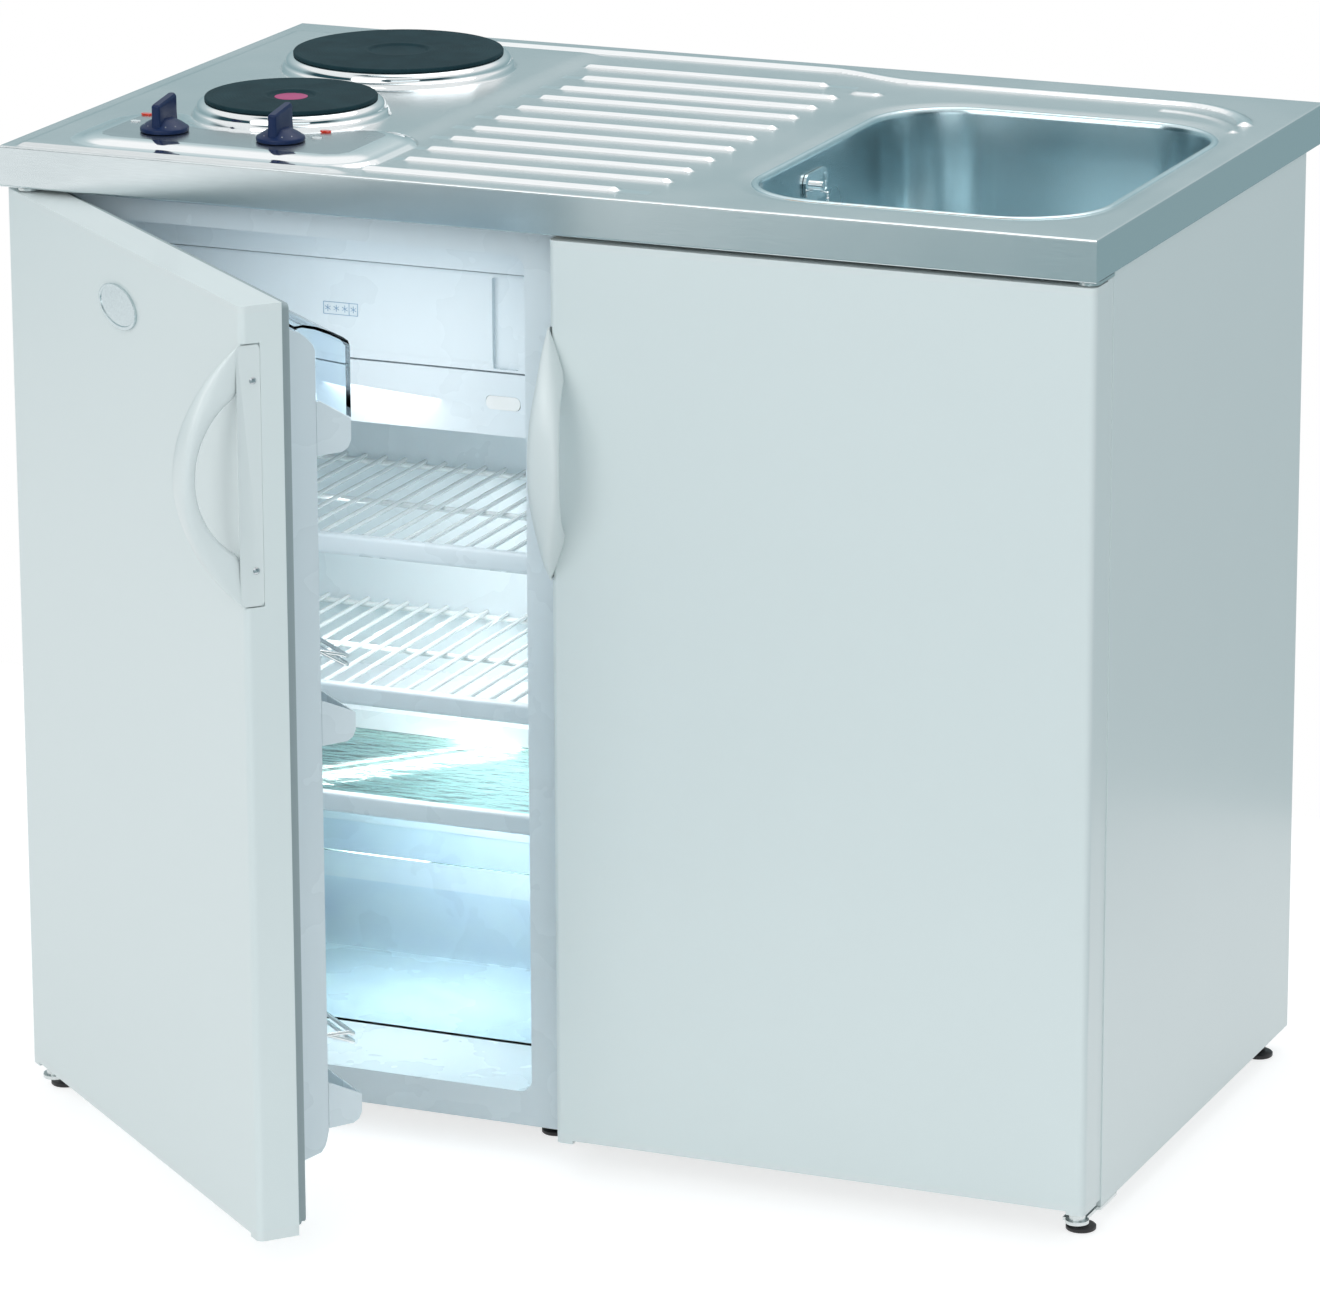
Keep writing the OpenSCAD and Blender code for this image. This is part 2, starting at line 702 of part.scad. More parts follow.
module freezer_box() color([0.78, 0.83, 0.86]) place() {
    x0 = open_x0 + 4;
    x1 = open_x1 - 4;
    y0 = shelf_y + 12;
    y1 = room_y1 - 4;
    z0 = freezer_z0 - 1;
    z1 = open_z1 - 5;
    difference() {
        prism_y(y0, y1) round_rect(x0, x1, z0, z1, 10);
        prism_y(y0 - 1, y1 - 1.5) round_rect(x0 + 1.5, x1 - 1.5, z0 + 1.5, z1 - 1.5, 8.5);
    }
    for (x = [x0 + 40, x1 - 40]) for (y = [y0 + 30, y1 - 30])
        translate([x, y, z1 - 0.5]) cylinder(r = 6, h = 5.5);
}

module freezer_fascia() color([0.88, 0.94, 0.96]) place() {
    z0 = freezer_z0 + flap_h + 1;
    difference() {
        box(open_x0 + 0.5, open_x1 - 0.5, shelf_y, shelf_y + 8.7, z0, open_z1);
        box(open_x0 + 16, open_x1 - 12, shelf_y + 3, shelf_y + 9, z0 - 1, open_z1 - 12);
        translate([open_x0 + 9, shelf_y + 4.5, z0 - 1])
            cylinder(r = flap_pin + run, h = 6);
    }
}

module freezer_flap() color([0.84, 0.92, 0.95]) place() {
    x0 = open_x0 + 4;
    x1 = open_x1 - 4;
    z0 = freezer_z0;
    z1 = freezer_z0 + flap_h;
    difference() {
        union() {
            prism_x(x0, x1)
                polygon([[shelf_y + 1.5, z1], [shelf_y, z1 - 2],
                    [shelf_y, z0 + 9], [shelf_y + 1.2, z0 + 7],
                    [shelf_y + 1.2, z0], [shelf_y + 8, z0], [shelf_y + 8, z1]]);
            translate([x0 + 5, shelf_y + 4.5, z0 - 3.5])
                cylinder(r = flap_pin, h = flap_h + 7.5);
        }
        // vertical grip hollow near the free edge
        prism_y(shelf_y - 1, shelf_y + 5.5)
            round_rect(x1 - 60, x1 - 36, z0 + 2, z1 - 3, 2);
    }
}

module drip_tray() color([0.86, 0.94, 0.95]) place() {
    x0 = open_x0 + 3;
    x1 = open_x1 - 3;
    zt = freezer_z0 - 1.3;
    zb = zt - 57;
    yb = room_y1 - 6;
    difference() {
        prism_x(x0, x1)
            polygon([[shelf_y, zt], [shelf_y + 7, zb], [shelf_y + 10, zb],
                [shelf_y + 15, zt - 24], [yb, zt - 20], [yb, zt]]);
        prism_x(x0 + 2.5, x1 - 2.5)
            polygon([[shelf_y + 13, zt + 1], [shelf_y + 16, zt - 21.5],
                [yb - 2.5, zt - 17.5], [yb - 2.5, zt + 1]]);
        translate([open_x0 + 9, shelf_y + 4.5, zt - 4])
            cylinder(r = flap_pin + run, h = 6);
        prism_y(shelf_y - 1, shelf_y + 20)
            round_rect(open_x1 - 72 - clear, open_x1 - 40 + clear,
                zt - 33 - clear, zt - 21 + clear, 5);
    }
    // back ledge that rests on the liner's rear wall
    box(x0 + 20, x1 - 20, yb - 1, room_y1, zt - 19, zt - 11);
}

module lamp_lens() color([1, 0.98, 0.92]) place() {
    zt = freezer_z0 - 1.3;
    prism_y(shelf_y + 3, shelf_y + 9)
        round_rect(open_x1 - 72, open_x1 - 40, zt - 33, zt - 21, 5);
}

module lamp_housing() color([0.93, 0.95, 0.95]) place() {
    z0 = lamp_z;
    difference() {
        box(open_x1 - 26, open_x1, shelf_y + 60, shelf_y + 170, z0, z0 + 62);
        translate([open_x1 - 30, shelf_y + 88, z0 + 30]) rotate([0, 90, 0])
            cylinder(r = 3 + run, h = 16);
        box(open_x1 - 27, open_x1 - 6, shelf_y + 112, shelf_y + 164, z0 + 6, z0 + 56);
    }
}

module thermostat_knob() color([0.9, 0.92, 0.93]) place() {
    z0 = lamp_z;
    translate([open_x1 - 26 - clear, shelf_y + 88, z0 + 30])
        rotate([0, -90, 0]) {
            cylinder(r1 = 19, r2 = 17.5, h = 9);
            translate([-2.2, -17, 8]) cube([4.4, 34, 6]);
            translate([0, 0, -11]) cylinder(r = 3, h = 12);
        }
}

module wire_shelf(z) {
    x0 = open_x0 + 1;
    x1 = open_x1 - 1;
    y0 = shelf_y + 8;
    y1 = room_y1 - 3;
    r = wire_d / 2;
    n = floor((x1 - x0 - 24) / wire_pitch);
    first = (x0 + x1) / 2 - n * wire_pitch / 2;
    for (i = [0 : n])
        rod([first + i * wire_pitch, y0, z - r], [first + i * wire_pitch, y1, z - r], r, 6);
    for (y = [shelf_y + 18, (y0 + y1) / 2, y1 - 4])
        rod([x0, y, z - wire_d * 1.6], [x1, y, z - wire_d * 1.6], wire_d * 0.65, 6);
}

module wire_shelf_upper() color([0.94, 0.97, 0.97]) place()
    wire_shelf(upper_z);

module wire_shelf_lower() color([0.94, 0.97, 0.97]) place()
    wire_shelf(lower_z);

module trim_profile(z, h) {
    difference() {
        polygon([[shelf_y, z - h + 4], [shelf_y, z - 3], [shelf_y + 1, z - 1],
            [shelf_y + 3, z], [shelf_y + 9, z], [shelf_y + 9, z - h],
            [shelf_y + 3, z - h], [shelf_y + 1, z - h + 1.5]]);
        children();
    }
}

module shelf_trims() color([0.93, 0.95, 0.97]) place() {
    x0 = open_x0 + 1;
    x1 = open_x1 - 1;
    za = upper_z;
    zb = lower_z;
    zc = open_z0 + shelf_c + 12;
    for (z = [za, zb])
        prism_x(x0, x1) trim_profile(z + 1, 18)
            translate([shelf_y + 7.9, z - wire_d - 0.1]) square([2, wire_d + 0.2]);
    prism_x(x0, x1) trim_profile(zc, 18)
        translate([shelf_y + 5, zc - 18.1]) square([5, 6.4]);
}

module glass_shelf() color([0.6, 0.85, 0.8, 0.6]) place() {
    z = open_z0 + shelf_c;
    box(open_x0 + 1.5, open_x1 - 1.5, shelf_y + 5.3, hump_y - 2, z - 6, z - 0.6);
}

module crisper() color([0.85, 0.93, 0.95, 0.35]) place() {
    x0 = open_x0 + ledge + 2;
    x1 = open_x1 - ledge - 2;
    zt = open_z0 + shelf_c - 14;
    zb = open_z0 + 0.4;
    t = 2.5;
    y0 = shelf_y + 4;
    y1 = hump_y - 3;
    difference() {
        union() {
            prism_x(x0, x1)
                polygon([[y0, zt], [y0, zt - 29], [y0 + 4, zt - 29],
                    [y0 + 26, zb + 6], [y0 + 32, zb], [y1 - 10, zb], [y1, zt]]);
            box(x0 - 1.5, x1 + 1.5, y0, y1, zt - 3, zt);
        }
        prism_x(x0 + t, x1 - t)
            polygon([[y0 + t, zt + 1], [y0 + t + 1, zt - 29],
                [y0 + 28.5, zb + 7], [y0 + 33, zb + t], [y1 - 12, zb + t],
                [y1 - t, zt + 1]]);
    }
}

// ---------- doors ----------

// Turns the refrigerator door to its stored angle about its hinge axis.
module door_pose() place()
    translate([pivot_x, pivot_y, 0]) rotate([0, 0, -door_open])
        translate([-pivot_x, -pivot_y, 0]) children();

module door_outline(w, t, grow) {
    r = 6 - grow;
    translate([-grow, r]) square([w + 2 * grow, t - r]);
    translate([r, -grow]) square([w - 2 * r, t]);
    for (x = [r, w - r]) translate([x, r]) circle(r = r + grow);
}

module pan(w, t) {
    difference() {
        translate([0, 0, door_bot + 6]) linear_extrude(height = door_hh - 12)
            door_outline(w, t, 0);
        box(3.6, w - 3.6, case_t, t + 1, door_bot, door_top);
    }
}

// Moulded top and bottom ends of a door, with the bores for its hinge pins.
module caps(w, t, px) {
    lug = 9.5;
    for (top = [0, 1]) {
        z0 = top ? door_top - 6 : door_bot;
        lug_z = top ? door_top - 24 : door_bot;
        difference() {
            union() {
                translate([0, 0, z0]) linear_extrude(height = 6)
                    door_outline(w, t, 0);
                box(3.9, w - 3.9, case_t + clear, t - 3.3,
                    top ? door_top - 14 : door_bot + 1, top ? door_top - 1 : door_bot + 14);
                intersection() {
                    translate([px, pivot_y + 1, lug_z]) cylinder(r = lug, h = 24);
                    box(3.9, w - 3.9, case_t + clear, t - 3.3, door_bot, door_top);
                }
                // rounded corners that stand a little lower
                if (!top)
                    for (x = [0, w - 16])
                        intersection() {
                            translate([0, 0, door_bot - 3])
                                linear_extrude(height = 3.5) door_outline(w, t, 0);
                            box(x, x + 16, -1, t + 1, door_bot - 4, door_bot + 1);
                        }
            }
            translate([px, pivot_y, top ? lug_z : door_bot - 4])
                cylinder(r = pin_r + run, h = 27);
            box(34, w - 34, 6, t - 6, top ? door_top - 20 : door_bot + 6,
                top ? door_top - 6 : door_bot + 20);
        }
    }
}

// Bow handle: side outline and leaf-shaped front outline, with a side wing.
module handle(zt) {
    l = handle_l;
    zm = zt - l / 2;
    ro = (l * l / 4 + handle_out * handle_out) / (2 * handle_out);
    li = l * 0.62;
    si = handle_out - 13;
    ri = (li * li / 4 + si * si) / (2 * si);
    rw = (l * l / 4 + handle_w * handle_w) / (2 * handle_w);
    difference() {
        intersection() {
            prism_x(-1, handle_w + 1) intersection() {
                translate([ro - handle_out, zm]) circle(r = ro, $fn = 180);
                translate([-handle_out - 1, zt - l]) square([handle_out + 1 - clear, l]);
            }
            prism_y(-handle_out - 1, 0) intersection() {
                translate([handle_w - rw, zm]) circle(r = rw, $fn = 240);
                translate([0, zt - l]) square([handle_w + 1, l]);
            }
            // bevelled plan, highest along the middle
            translate([0, 0, zt - l]) linear_extrude(height = l)
                polygon([for (p = [[-0.55, 1], [-0.55, -0.6], [-0.36, -0.85],
                    [-0.15, -1], [0.15, -1], [0.36, -0.85], [0.55, -0.6], [0.55, 1]])
                    [handle_w * (0.5 + p[0]), p[1] > 0 ? 1 : -handle_out + (1 + p[1]) * 26]]);
        }
        prism_x(-2, handle_w + 2) intersection() {
            translate([ri - si, zm]) circle(r = ri, $fn = 120);
            translate([-handle_out, zm - li / 2]) square([handle_out + 5, li]);
        }
    }
    // wing that wraps onto the door's free edge, with its screw seats
    difference() {
        union() {
            box(-wing_t + 2.4, 2.4, -4, wing, zt - l + 1, zt - 1);
            box(0, 6, -4, -clear, zt - l + 1, zt - 1);
        }
        for (s = [-1, 1])
            translate([-1, 11, zm + s * l * 0.36]) rotate([0, 90, 0])
                cylinder(r = 3.2, h = 2.2);
        for (s = [-1, 1])
            translate([-1, 11, zm + s * l * 0.36]) rotate([0, 90, 0])
                cylinder(r = 1.8, h = 5);
        box(-1, 10, -10, -clear - 3, zm - li / 2, zm + li / 2);
    }
}

module door_pan_left() color([0.88, 0.92, 0.91]) door_pose() difference() {
    pan(door_w_left, door_t_left);
    box(door_w_left - wing_t - clear, door_w_left + 1, -1, wing + clear,
        door_top - handle_drop_left - handle_l, door_top - handle_drop_left);
}

module door_caps_left() color([0.86, 0.9, 0.9]) door_pose() difference() {
    caps(door_w_left, door_t_left, pivot_x);
    box(door_w_left - 16, door_w_left + 1, -1, wing + 1,
        door_top - 2 * handle_l, door_top - handle_drop_left + 1);
}

module handle_left() color([0.87, 0.91, 0.91]) door_pose()
    translate([door_w_left, 0, 0]) mirror([1, 0, 0])
        handle(door_top - handle_drop_left);

module oval_plate() color([0.8, 0.84, 0.84]) door_pose() {
    translate([door_w_left / 2 - 2, 0, door_top - 53]) rotate([90, 0, 0])
        oval(40, 18.5, 2.4);
}

// Oval disc drawn from a many-sided outline.
module oval(a, b, h) {
    pts = [for (i = [0 : 47]) let (t = i * 7.5) [a * cos(t), b * sin(t)]];
    small = [for (i = [0 : 47]) let (t = i * 7.5)
        [(a - 3) * cos(t), (b - 3) * sin(t)]];
    linear_extrude(height = h - 0.8) polygon(pts);
    linear_extrude(height = h) difference() {
        polygon(pts);
        polygon(small);
    }
}

module door_gasket_left() color([0.9, 0.92, 0.92]) door_pose() {
    y0 = door_t_left + 2;
    x0 = pivot_x + 2;
    x1 = door_w_left - 6;
    z0 = door_bot + 2;
    z1 = door_top - 2;
    difference() {
        union() {
            prism_y(y0, y0 + 3) round_rect(x0, x1, z0, z1, 6);
            prism_y(y0 + 2.9, front_y - clear) round_rect(x0 + 2, x1 - 2, z0 + 2, z1 - 2, 5);
        }
        prism_y(y0 - 1, front_y) box2(x0 + 13, x1 - 13, z0 + 13, z1 - 13);
        prism_y(y0 - 1, y0 + 5)
            box2(x0 + 5, x1 - 5, z0 + 5, z0 + 10);
    }
}

module box2(x0, x1, z0, z1) {
    translate([x0, z0]) square([x1 - x0, z1 - z0]);
}

// Side ridge outline of the door liner, with a curved foot.
module ridge_outline(y0) {
    r = ridge_reach;
    polygon([[y0, door_bot + 37], [r - 27, door_bot + 40.3], [r - 7, door_bot + 46.2],
        [r - 3.4, door_bot + 51.1], [r - 1.5, door_bot + 57.5], [r, door_bot + 64.5],
        [r, door_top - 56.5], [r - 2, door_top - 51.5], [r - 6, door_top - 47],
        [r - 14, door_top - 40.1], [r - 26, door_top - 35.8], [y0, door_top - 35]]);
}

module bin(z0, z1, zf) {
    x0 = liner_x0;
    x1 = liner_x1;
    y0 = front_y - 4;
    y1 = bin_reach;
    ym = ridge_reach + clear;
    xi = 14 + clear;
    t = 2.2;
    difference() {
        union() {
            intersection() {
                prism_x(x0, x1) bin_side(y0, y1, z0, z1, zf);
                union() {
                    box(x0, x1, ym, y1 + 1, z0 - 1, z1 + 1);
                    box(x0 + xi, x1 - xi, y0 - 1, y1 + 1, z0 - 1, z1 + 1);
                }
            }
        }
        box(x0 + t, x1 - t, ym + t, y1 - t, z0 + 11, z1 + 1);
        prism_x(x0 + xi + t, x1 - xi - t)
            polygon([[y0 + 3, z0 + t], [y1 - 9, z0 + t + 4], [y1 - t, z0 + 13],
                [y1 - t, z1 + 1], [y0 + 3, z1 + 1]]);
    }
}

// Side outline of a bin: floor rising to the front, top sloping down to it.
module bin_side(y0, y1, z0, z1, zf) {
    polygon([[y0, z0], [y1 - 8, z0 + 3.6], [y1 - 3, z0 + 6.5], [y1, z0 + 13],
        [y1, zf], [ridge_reach + 3, z1], [y0, z1]]);
}

module door_bins() color([0.84, 0.93, 0.95]) door_pose() {
    bin(bin_floor, bin_top, bin_front);
    for (i = [0, 1])
        bin(bin_floors[i], bin_floors[i] + bin_tall[i],
            bin_floors[i] + bin_tall[i] - bin_dip[i]);
}

module door_liner_left() color([0.84, 0.93, 0.95]) door_pose() {
    y1 = front_y - 5;
    x0 = liner_x0;
    x1 = liner_x1;
    difference() {
        union() {
            // sheet between pan and gasket, turned up along its edges
            box(8, door_w_left - 6, door_t_left - 2, door_t_left + 2,
                door_bot + 6, door_top - 6);
            prism_y(door_t_left + 1.9, y1 + 1)
                round_rect(x0 - 12, x1 + 26, door_bot + 20, door_top - 30, 8);
            // ledge behind the lid of the top bin
            box(x0 + 10, x1 - 10, y1, ridge_reach - 30, door_top - 39, door_top - 36);
            // side ridges
            for (x = [x0, x1 - 14]) prism_x(x, x + 14) ridge_outline(door_t_left);
        }
        // hollow back of the plateau, towards the pan
        prism_y(door_t_left - 3, y1 - 2)
            box2(x0 + 20, x1 - 20, door_bot + 40, door_top - 40);
        // seats of the lid's pins and of the rails' ends
        for (x = [x0 + 10, x1 - 14.1]) translate([x, lid_y, lid_z])
            rotate([0, 90, 0]) cylinder(r = lid_pin + run, h = 4.1);
        for (x = [x0 + 5, x1 - 5]) for (z = rail_ends)
            translate([x, ridge_reach - 6.3, z]) rotate([-90, 0, 0])
                cylinder(r = rail_r + clear, h = 8);
    }
}

// Clear cover of the top bin: a curved hood, pivoted between the ridges at
// its rear edge, so that its front lifts.
module dairy_lid() color([0.7, 0.88, 0.95, 0.45]) door_pose() {
    x0 = liner_x0;
    x1 = liner_x1;
    y1 = bin_reach;
    r = ridge_reach;
    zt = door_top - 34;
    hood = [[r - 26, zt - 11.5], [r - 24, zt - 6], [r - 18, zt - 0.5], [r - 10, zt],
        [r + 2, zt - 3], [y1 - 15, zt - 9], [y1 - 6, zt - 14], [y1 - 1.5, zt - 17.5],
        [y1, zt - 22], [y1, bin_front + 0.8], [y1 - 3, bin_front + 2.8], [y1 - 3, zt - 22.5],
        [y1 - 7, zt - 16.8], [y1 - 16, zt - 11.8], [r + 1.5, zt - 5.9],
        [r - 10, zt - 3], [r - 17, zt - 3.4], [r - 21.5, zt - 7.5], [r - 23, zt - 11.5]];
    intersection() {
        prism_x(x0, x1) polygon(hood);
        union() {
            box(x0 + 14.4, x1 - 14.4, 0, r - 17, bin_front, door_top);
            box(x0, x1, r - 18, y1 + 1, bin_front, door_top);
        }
    }
    // cheeks, standing just over the bin's sides and in front of the ridges
    for (x = [x0, x1 - 3]) prism_x(x, x + 3)
        polygon([[r + 0.5, bin_top + clear], [r + 3.1, bin_top + clear],
            [y1 - 1, bin_front + 1.6], [y1 - 1, zt - 19], [y1 - 15.5, zt - 10],
            [r + 1.8, zt - 4.5], [r - 10, zt - 1.5], [r - 15, zt - 3],
            [r - 13.7, zt - 5.5], [r - 5.6, zt - 12.4], [r - 1.5, zt - 17], [r + 0.5, zt - 22.3]]);
    for (x = [x0 + 14.4, x1 - 18.4]) prism_x(x, x + 4)
        polygon([[r - 26, zt - 12.5], [r - 26, zt - 6.5], [r - 20, zt - 2.5],
            [r - 17, zt - 3], [r - 18.5, zt - 12.5]]);
    for (x = [x0 + 10.5, x1 - 15]) translate([x, lid_y, lid_z])
        rotate([0, 90, 0]) cylinder(r = lid_pin, h = 4.5);
}

module bottle_rails() color("silver") door_pose() {
    y1 = bin_reach - 3;
    yr = ridge_reach + 3;
    for (i = [0, 1]) {
        z = rail_ends[i] - rail_drop[i];
        for (s = [0, 7])
            rod([liner_x0 + 5, y1, z + s], [liner_x1 - 5, y1, z + s], rail_r);
        for (x = [liner_x0 + 5, liner_x1 - 5]) {
            rod([x, y1, z - 1], [x, y1, z + 8], rail_r);
            rod([x, y1, z + 3.5], [x, yr - 1, rail_ends[i]], rail_r);
            rod([x, yr, rail_ends[i]], [x, ridge_reach - 6, rail_ends[i]], rail_r);
        }
    }
}

// ---------- cupboard ----------

module right_pose() place() translate([door_x_right, 0, 0]) children();

module door_pan_right() color([0.88, 0.92, 0.91]) right_pose() difference() {
    pan(door_w_right, door_t_right);
    box(-1, wing_t + clear, -1, wing + clear,
        door_top - handle_drop_right - handle_l, door_top - handle_drop_right);
}

module door_caps_right() color([0.86, 0.9, 0.9]) right_pose() difference() {
    caps(door_w_right, door_t_right, door_w_right - pivot_right);
    box(-1, 16, -1, wing + 1, door_top - 2 * handle_l,
        door_top - handle_drop_right + 1);
}

module handle_right() color([0.87, 0.91, 0.91]) right_pose()
    handle(door_top - handle_drop_right);

// Shallow inner pan of the cupboard door, closed towards the cupboard.
module door_inner_right() color([0.85, 0.88, 0.88]) right_pose() {
    x0 = 20;
    x1 = door_w_right - 26;
    z0 = door_bot + 24;
    z1 = door_top - 24;
    yb = front_y - 2;
    difference() {
        union() {
            box(5, door_w_right - 5, door_t_right - 3.2, door_t_right - 2,
                door_bot + 8, door_top - 8);
            prism_y(door_t_right - 2.1, yb) round_rect(x0, x1, z0, z1, 6);
        }
        box(x0 + 1.2, x1 - 1.2, door_t_right - 4, yb - 1.2, z0 + 1.2, z1 - 1.2);
    }
    // stiffening channels behind the face
    for (z = [door_bot + 180, door_bot + 380, door_top - 180])
        box(x0, x1, case_t + 4, door_t_right - 3.1, z, z + 1.2);
}

module door_gasket_right() color([0.9, 0.92, 0.92]) right_pose()
    difference() {
        prism_y(door_t_right - 1.7, door_t_right + 1.6)
            round_rect(4, door_w_right - 14, door_bot + 6, door_top - 6, 5);
        prism_y(door_t_right - 2, door_t_right + 2)
            round_rect(19, door_w_right - 25, door_bot + 23, door_top - 23, 5);
    }

// Lower plates: each is fixed under the carcass, carries a door's lower pin
// and takes an outer front foot.
module hinge_lower() color([0.8, 0.82, 0.82]) place()
    for (s = [0, 1]) {
        px = s ? unit_w - pivot_right : pivot_x;
        fx = s ? unit_w - foot_in : foot_in;
        difference() {
            union() {
                box(min(px, fx) - 12, min(max(px, fx) + 12, unit_w - side_in), foot_front + 4,
                    front_y + 40, foot_h - plate_t, foot_h);
                for (p = [[px, pivot_y], [fx, foot_front]])
                    translate([p[0], p[1], foot_h - plate_t]) cylinder(r = 10, h = plate_t);
                box(min(px, fx) - 6, max(px, fx) + 6, pivot_y, foot_front + 5,
                    foot_h - plate_t, foot_h);
                translate([px, pivot_y, foot_h - 1]) cylinder(r = 7, h = door_bot - 3.6 - foot_h);
                translate([px, pivot_y, foot_h - 1]) cylinder(r = pin_r, h = door_bot + 16 - foot_h);
            }
            translate([fx, foot_front, foot_h - 5]) cylinder(r = stem_r + run, h = 9);
        }
    }

// Upper plates under the worktop, each with a door's upper pin.
module hinge_upper() color([0.9, 0.92, 0.92]) place()
    for (px = [pivot_x, unit_w - pivot_right]) {
        translate([px, pivot_y, door_top - 14]) cylinder(r = pin_r, h = 15.5);
        translate([px, pivot_y, door_top + 1]) cylinder(r = 9.5, h = lip_z - door_top - 1.2);
        box(px - 9.5, px + 9.5, pivot_y, front_y - clear, lip_z - 2.7, lip_z - 0.2);
    }

module magnet_catch() color([0.9, 0.9, 0.88]) place() {
    x = fridge_w + 34;
    z = lip_z - 24;
    box(x, x + 46, front_y + 0.2, front_y + 16, z - 15, z);
    for (i = [0, 1])
        box(x + 9 + i * 16, x + 21 + i * 16, front_y - 1.4, front_y + 1, z - 12, z - 4);
}

module cupboard_shell() color([0.87, 0.91, 0.91]) place() {
    x0 = fridge_w + 0.4;
    x1 = unit_w - side_in;
    t = case_t;
    shelf_z = foot_h + 330;
    difference() {
        union() {
            // floor, sides, back and the front edges folded from one sheet
            box(x0, x1, front_y, back_y, foot_h, foot_h + t);
            box(x0, x1, front_y, front_y + t, foot_h, foot_h + 12);
            box(x1 - t, x1, front_y, back_y, foot_h, lip_z);
            box(x0, x0 + t, front_y, back_y, foot_h, lip_z);
            box(x0, x1, back_y - t, back_y, foot_h, lip_z);
            box(x0, x1, front_y, front_y + t, lip_z - 24, lip_z);
            box(x0, x0 + 16, front_y, front_y + t, foot_h, lip_z);
            // folded frame of the right side, set forward behind the hinge edge
            box(x1 - 18, x1 - 1, frame_y, frame_y + t, foot_h + 6, door_top);
            box(x1 - 1 - t, x1 - 1, frame_y, front_y + 1, foot_h + 6, door_top);
            box(x1 - 18, x1 - 18 + t, frame_y, front_y + 14, foot_h + 6, door_top);
            box(x1 - 18, x1, front_y, front_y + t, foot_h, lip_z);
            // shelf with a folded front edge
            box(x0, x1, front_y + 120, back_y, shelf_z, shelf_z + t);
            box(x0, x1, front_y + 120, front_y + 120 + t, shelf_z - 16, shelf_z);
            translate([unit_w - foot_in, rear_foot_y, foot_h])
                cylinder(r = 9, h = sleeve_h);
        }
        translate([unit_w - foot_in, rear_foot_y, foot_h - 1])
            cylinder(r = stem_r + run, h = 30);
        // way out for the waste pipe
        translate([bowl_cx, back_y + 10, pipe_z]) rotate([90, 0, 0])
            cylinder(r = pipe_r + 7, h = 30);
    }
}

// ---------- cooling ----------

module compressor_plate() color([0.35, 0.36, 0.37]) place() {
    x0 = side_in + case_t;
    x1 = fridge_w - case_t;
    y0 = niche_y + 0.3;
    y1 = back_y - 2;
    difference() {
        union() {
            box(x0, x1, y0, y1, foot_h, foot_h + 2);
            for (x = [x0, x1 - 2]) box(x, x + 2, y0, y1, foot_h, foot_h + 20);
            for (x = [foot_in, mid_foot[0]]) translate([x, rear_foot_y, foot_h])
                cylinder(r = 9, h = sleeve_h);
        }
        for (x = [foot_in, mid_foot[0]])
            translate([x, rear_foot_y, foot_h - 1])
                cylinder(r = stem_r + run, h = 30);
    }
}

module compressor() color([0.12, 0.12, 0.13]) place() {
    x = fridge_w / 2 + 60;
    y = (niche_y + back_y) / 2 + 2;
    z = foot_h + 2;
    for (sx = [-1, 1]) for (sy = [-1, 1])
        translate([x + sx * 70, y + sy * 32, z]) cylinder(r = 8, h = 14);
    box(x - 82, x + 82, y - 42, y + 42, z + 14, z + 17);
    translate([x, y, z + 16.9]) cylinder(r = 42, h = 8);
    translate([x, y, z + 24]) rotate_extrude()
        polygon([[0, 0], [44, 0], [52, 10], [56, 30], [56, 62], [60, 63],
            [60, 69], [55, 70], [52, 92], [40, 108], [20, 116], [0, 118]]);
    box(x + 46, x + 72, y - 22, y + 22, z + 38, z + 90);
    rod([x - 20, y, z + 130], [x - 20, y, z + 160], 4, 8);
}

module condenser() color([0.14, 0.14, 0.15]) place() {
    y = cond_y + 18;
    x0 = 40;
    x1 = fridge_w - 40;
    z0 = niche_z + 70;
    n = 11;
    step = (lip_z - 60 - z0) / n;
    for (i = [0 : n]) rod([x0, y, z0 + i * step], [x1, y, z0 + i * step], 2.6, 6);
    for (i = [0 : n - 1]) {
        x = i % 2 == 0 ? x1 : x0;
        rod([x, y, z0 + i * step], [x, y, z0 + (i + 1) * step], 2.6, 6);
    }
    for (i = [0 : 10])
        rod([x0 + 20 + i * (x1 - x0 - 40) / 10, y - 2.4, z0 - 10],
            [x0 + 20 + i * (x1 - x0 - 40) / 10, y - 2.4, lip_z - 50], 1, 4);
    for (x = [x0 + 20, x1 - 20])
        box(x - 6, x + 6, cond_y, y + 1, lip_z - 64, lip_z - 52);
    for (x = [x0 + 20, x1 - 20])
        box(x - 6, x + 6, cond_y, y + 1, z0 + 20, z0 + 32);
}

module cable_gland() color([0.1, 0.1, 0.11]) place()
    translate([fridge_w - 60, cond_y, lip_z - 30]) rotate([-90, 0, 0])
        difference() {
            rotate_extrude()
                polygon([[5, 0], [13, 0], [13, 3], [9, 5], [8, 22], [5, 24]]);
        }

// ---------- feet ----------

module foot() {
    rotate_extrude()
        polygon([[0, 0], [foot_r - 0.8, 0], [foot_r, 0.8], [foot_r, 3.4],
            [foot_r - 1.4, 4.6], [stem_r + 2, 6], [0, 6]]);
    translate([0, 0, 5.9]) cylinder(r = stem_r + 2.6, h = 5, $fn = 6);
    cylinder(r = stem_r, h = stem_top);
}

module foot_at(x, y) place() translate([x, y, 0]) foot();

module foot_front_left() color([0.12, 0.12, 0.12]) foot_at(foot_in, foot_front);

module foot_front_mid() color([0.12, 0.12, 0.12]) foot_at(mid_foot[0], mid_foot[1]);

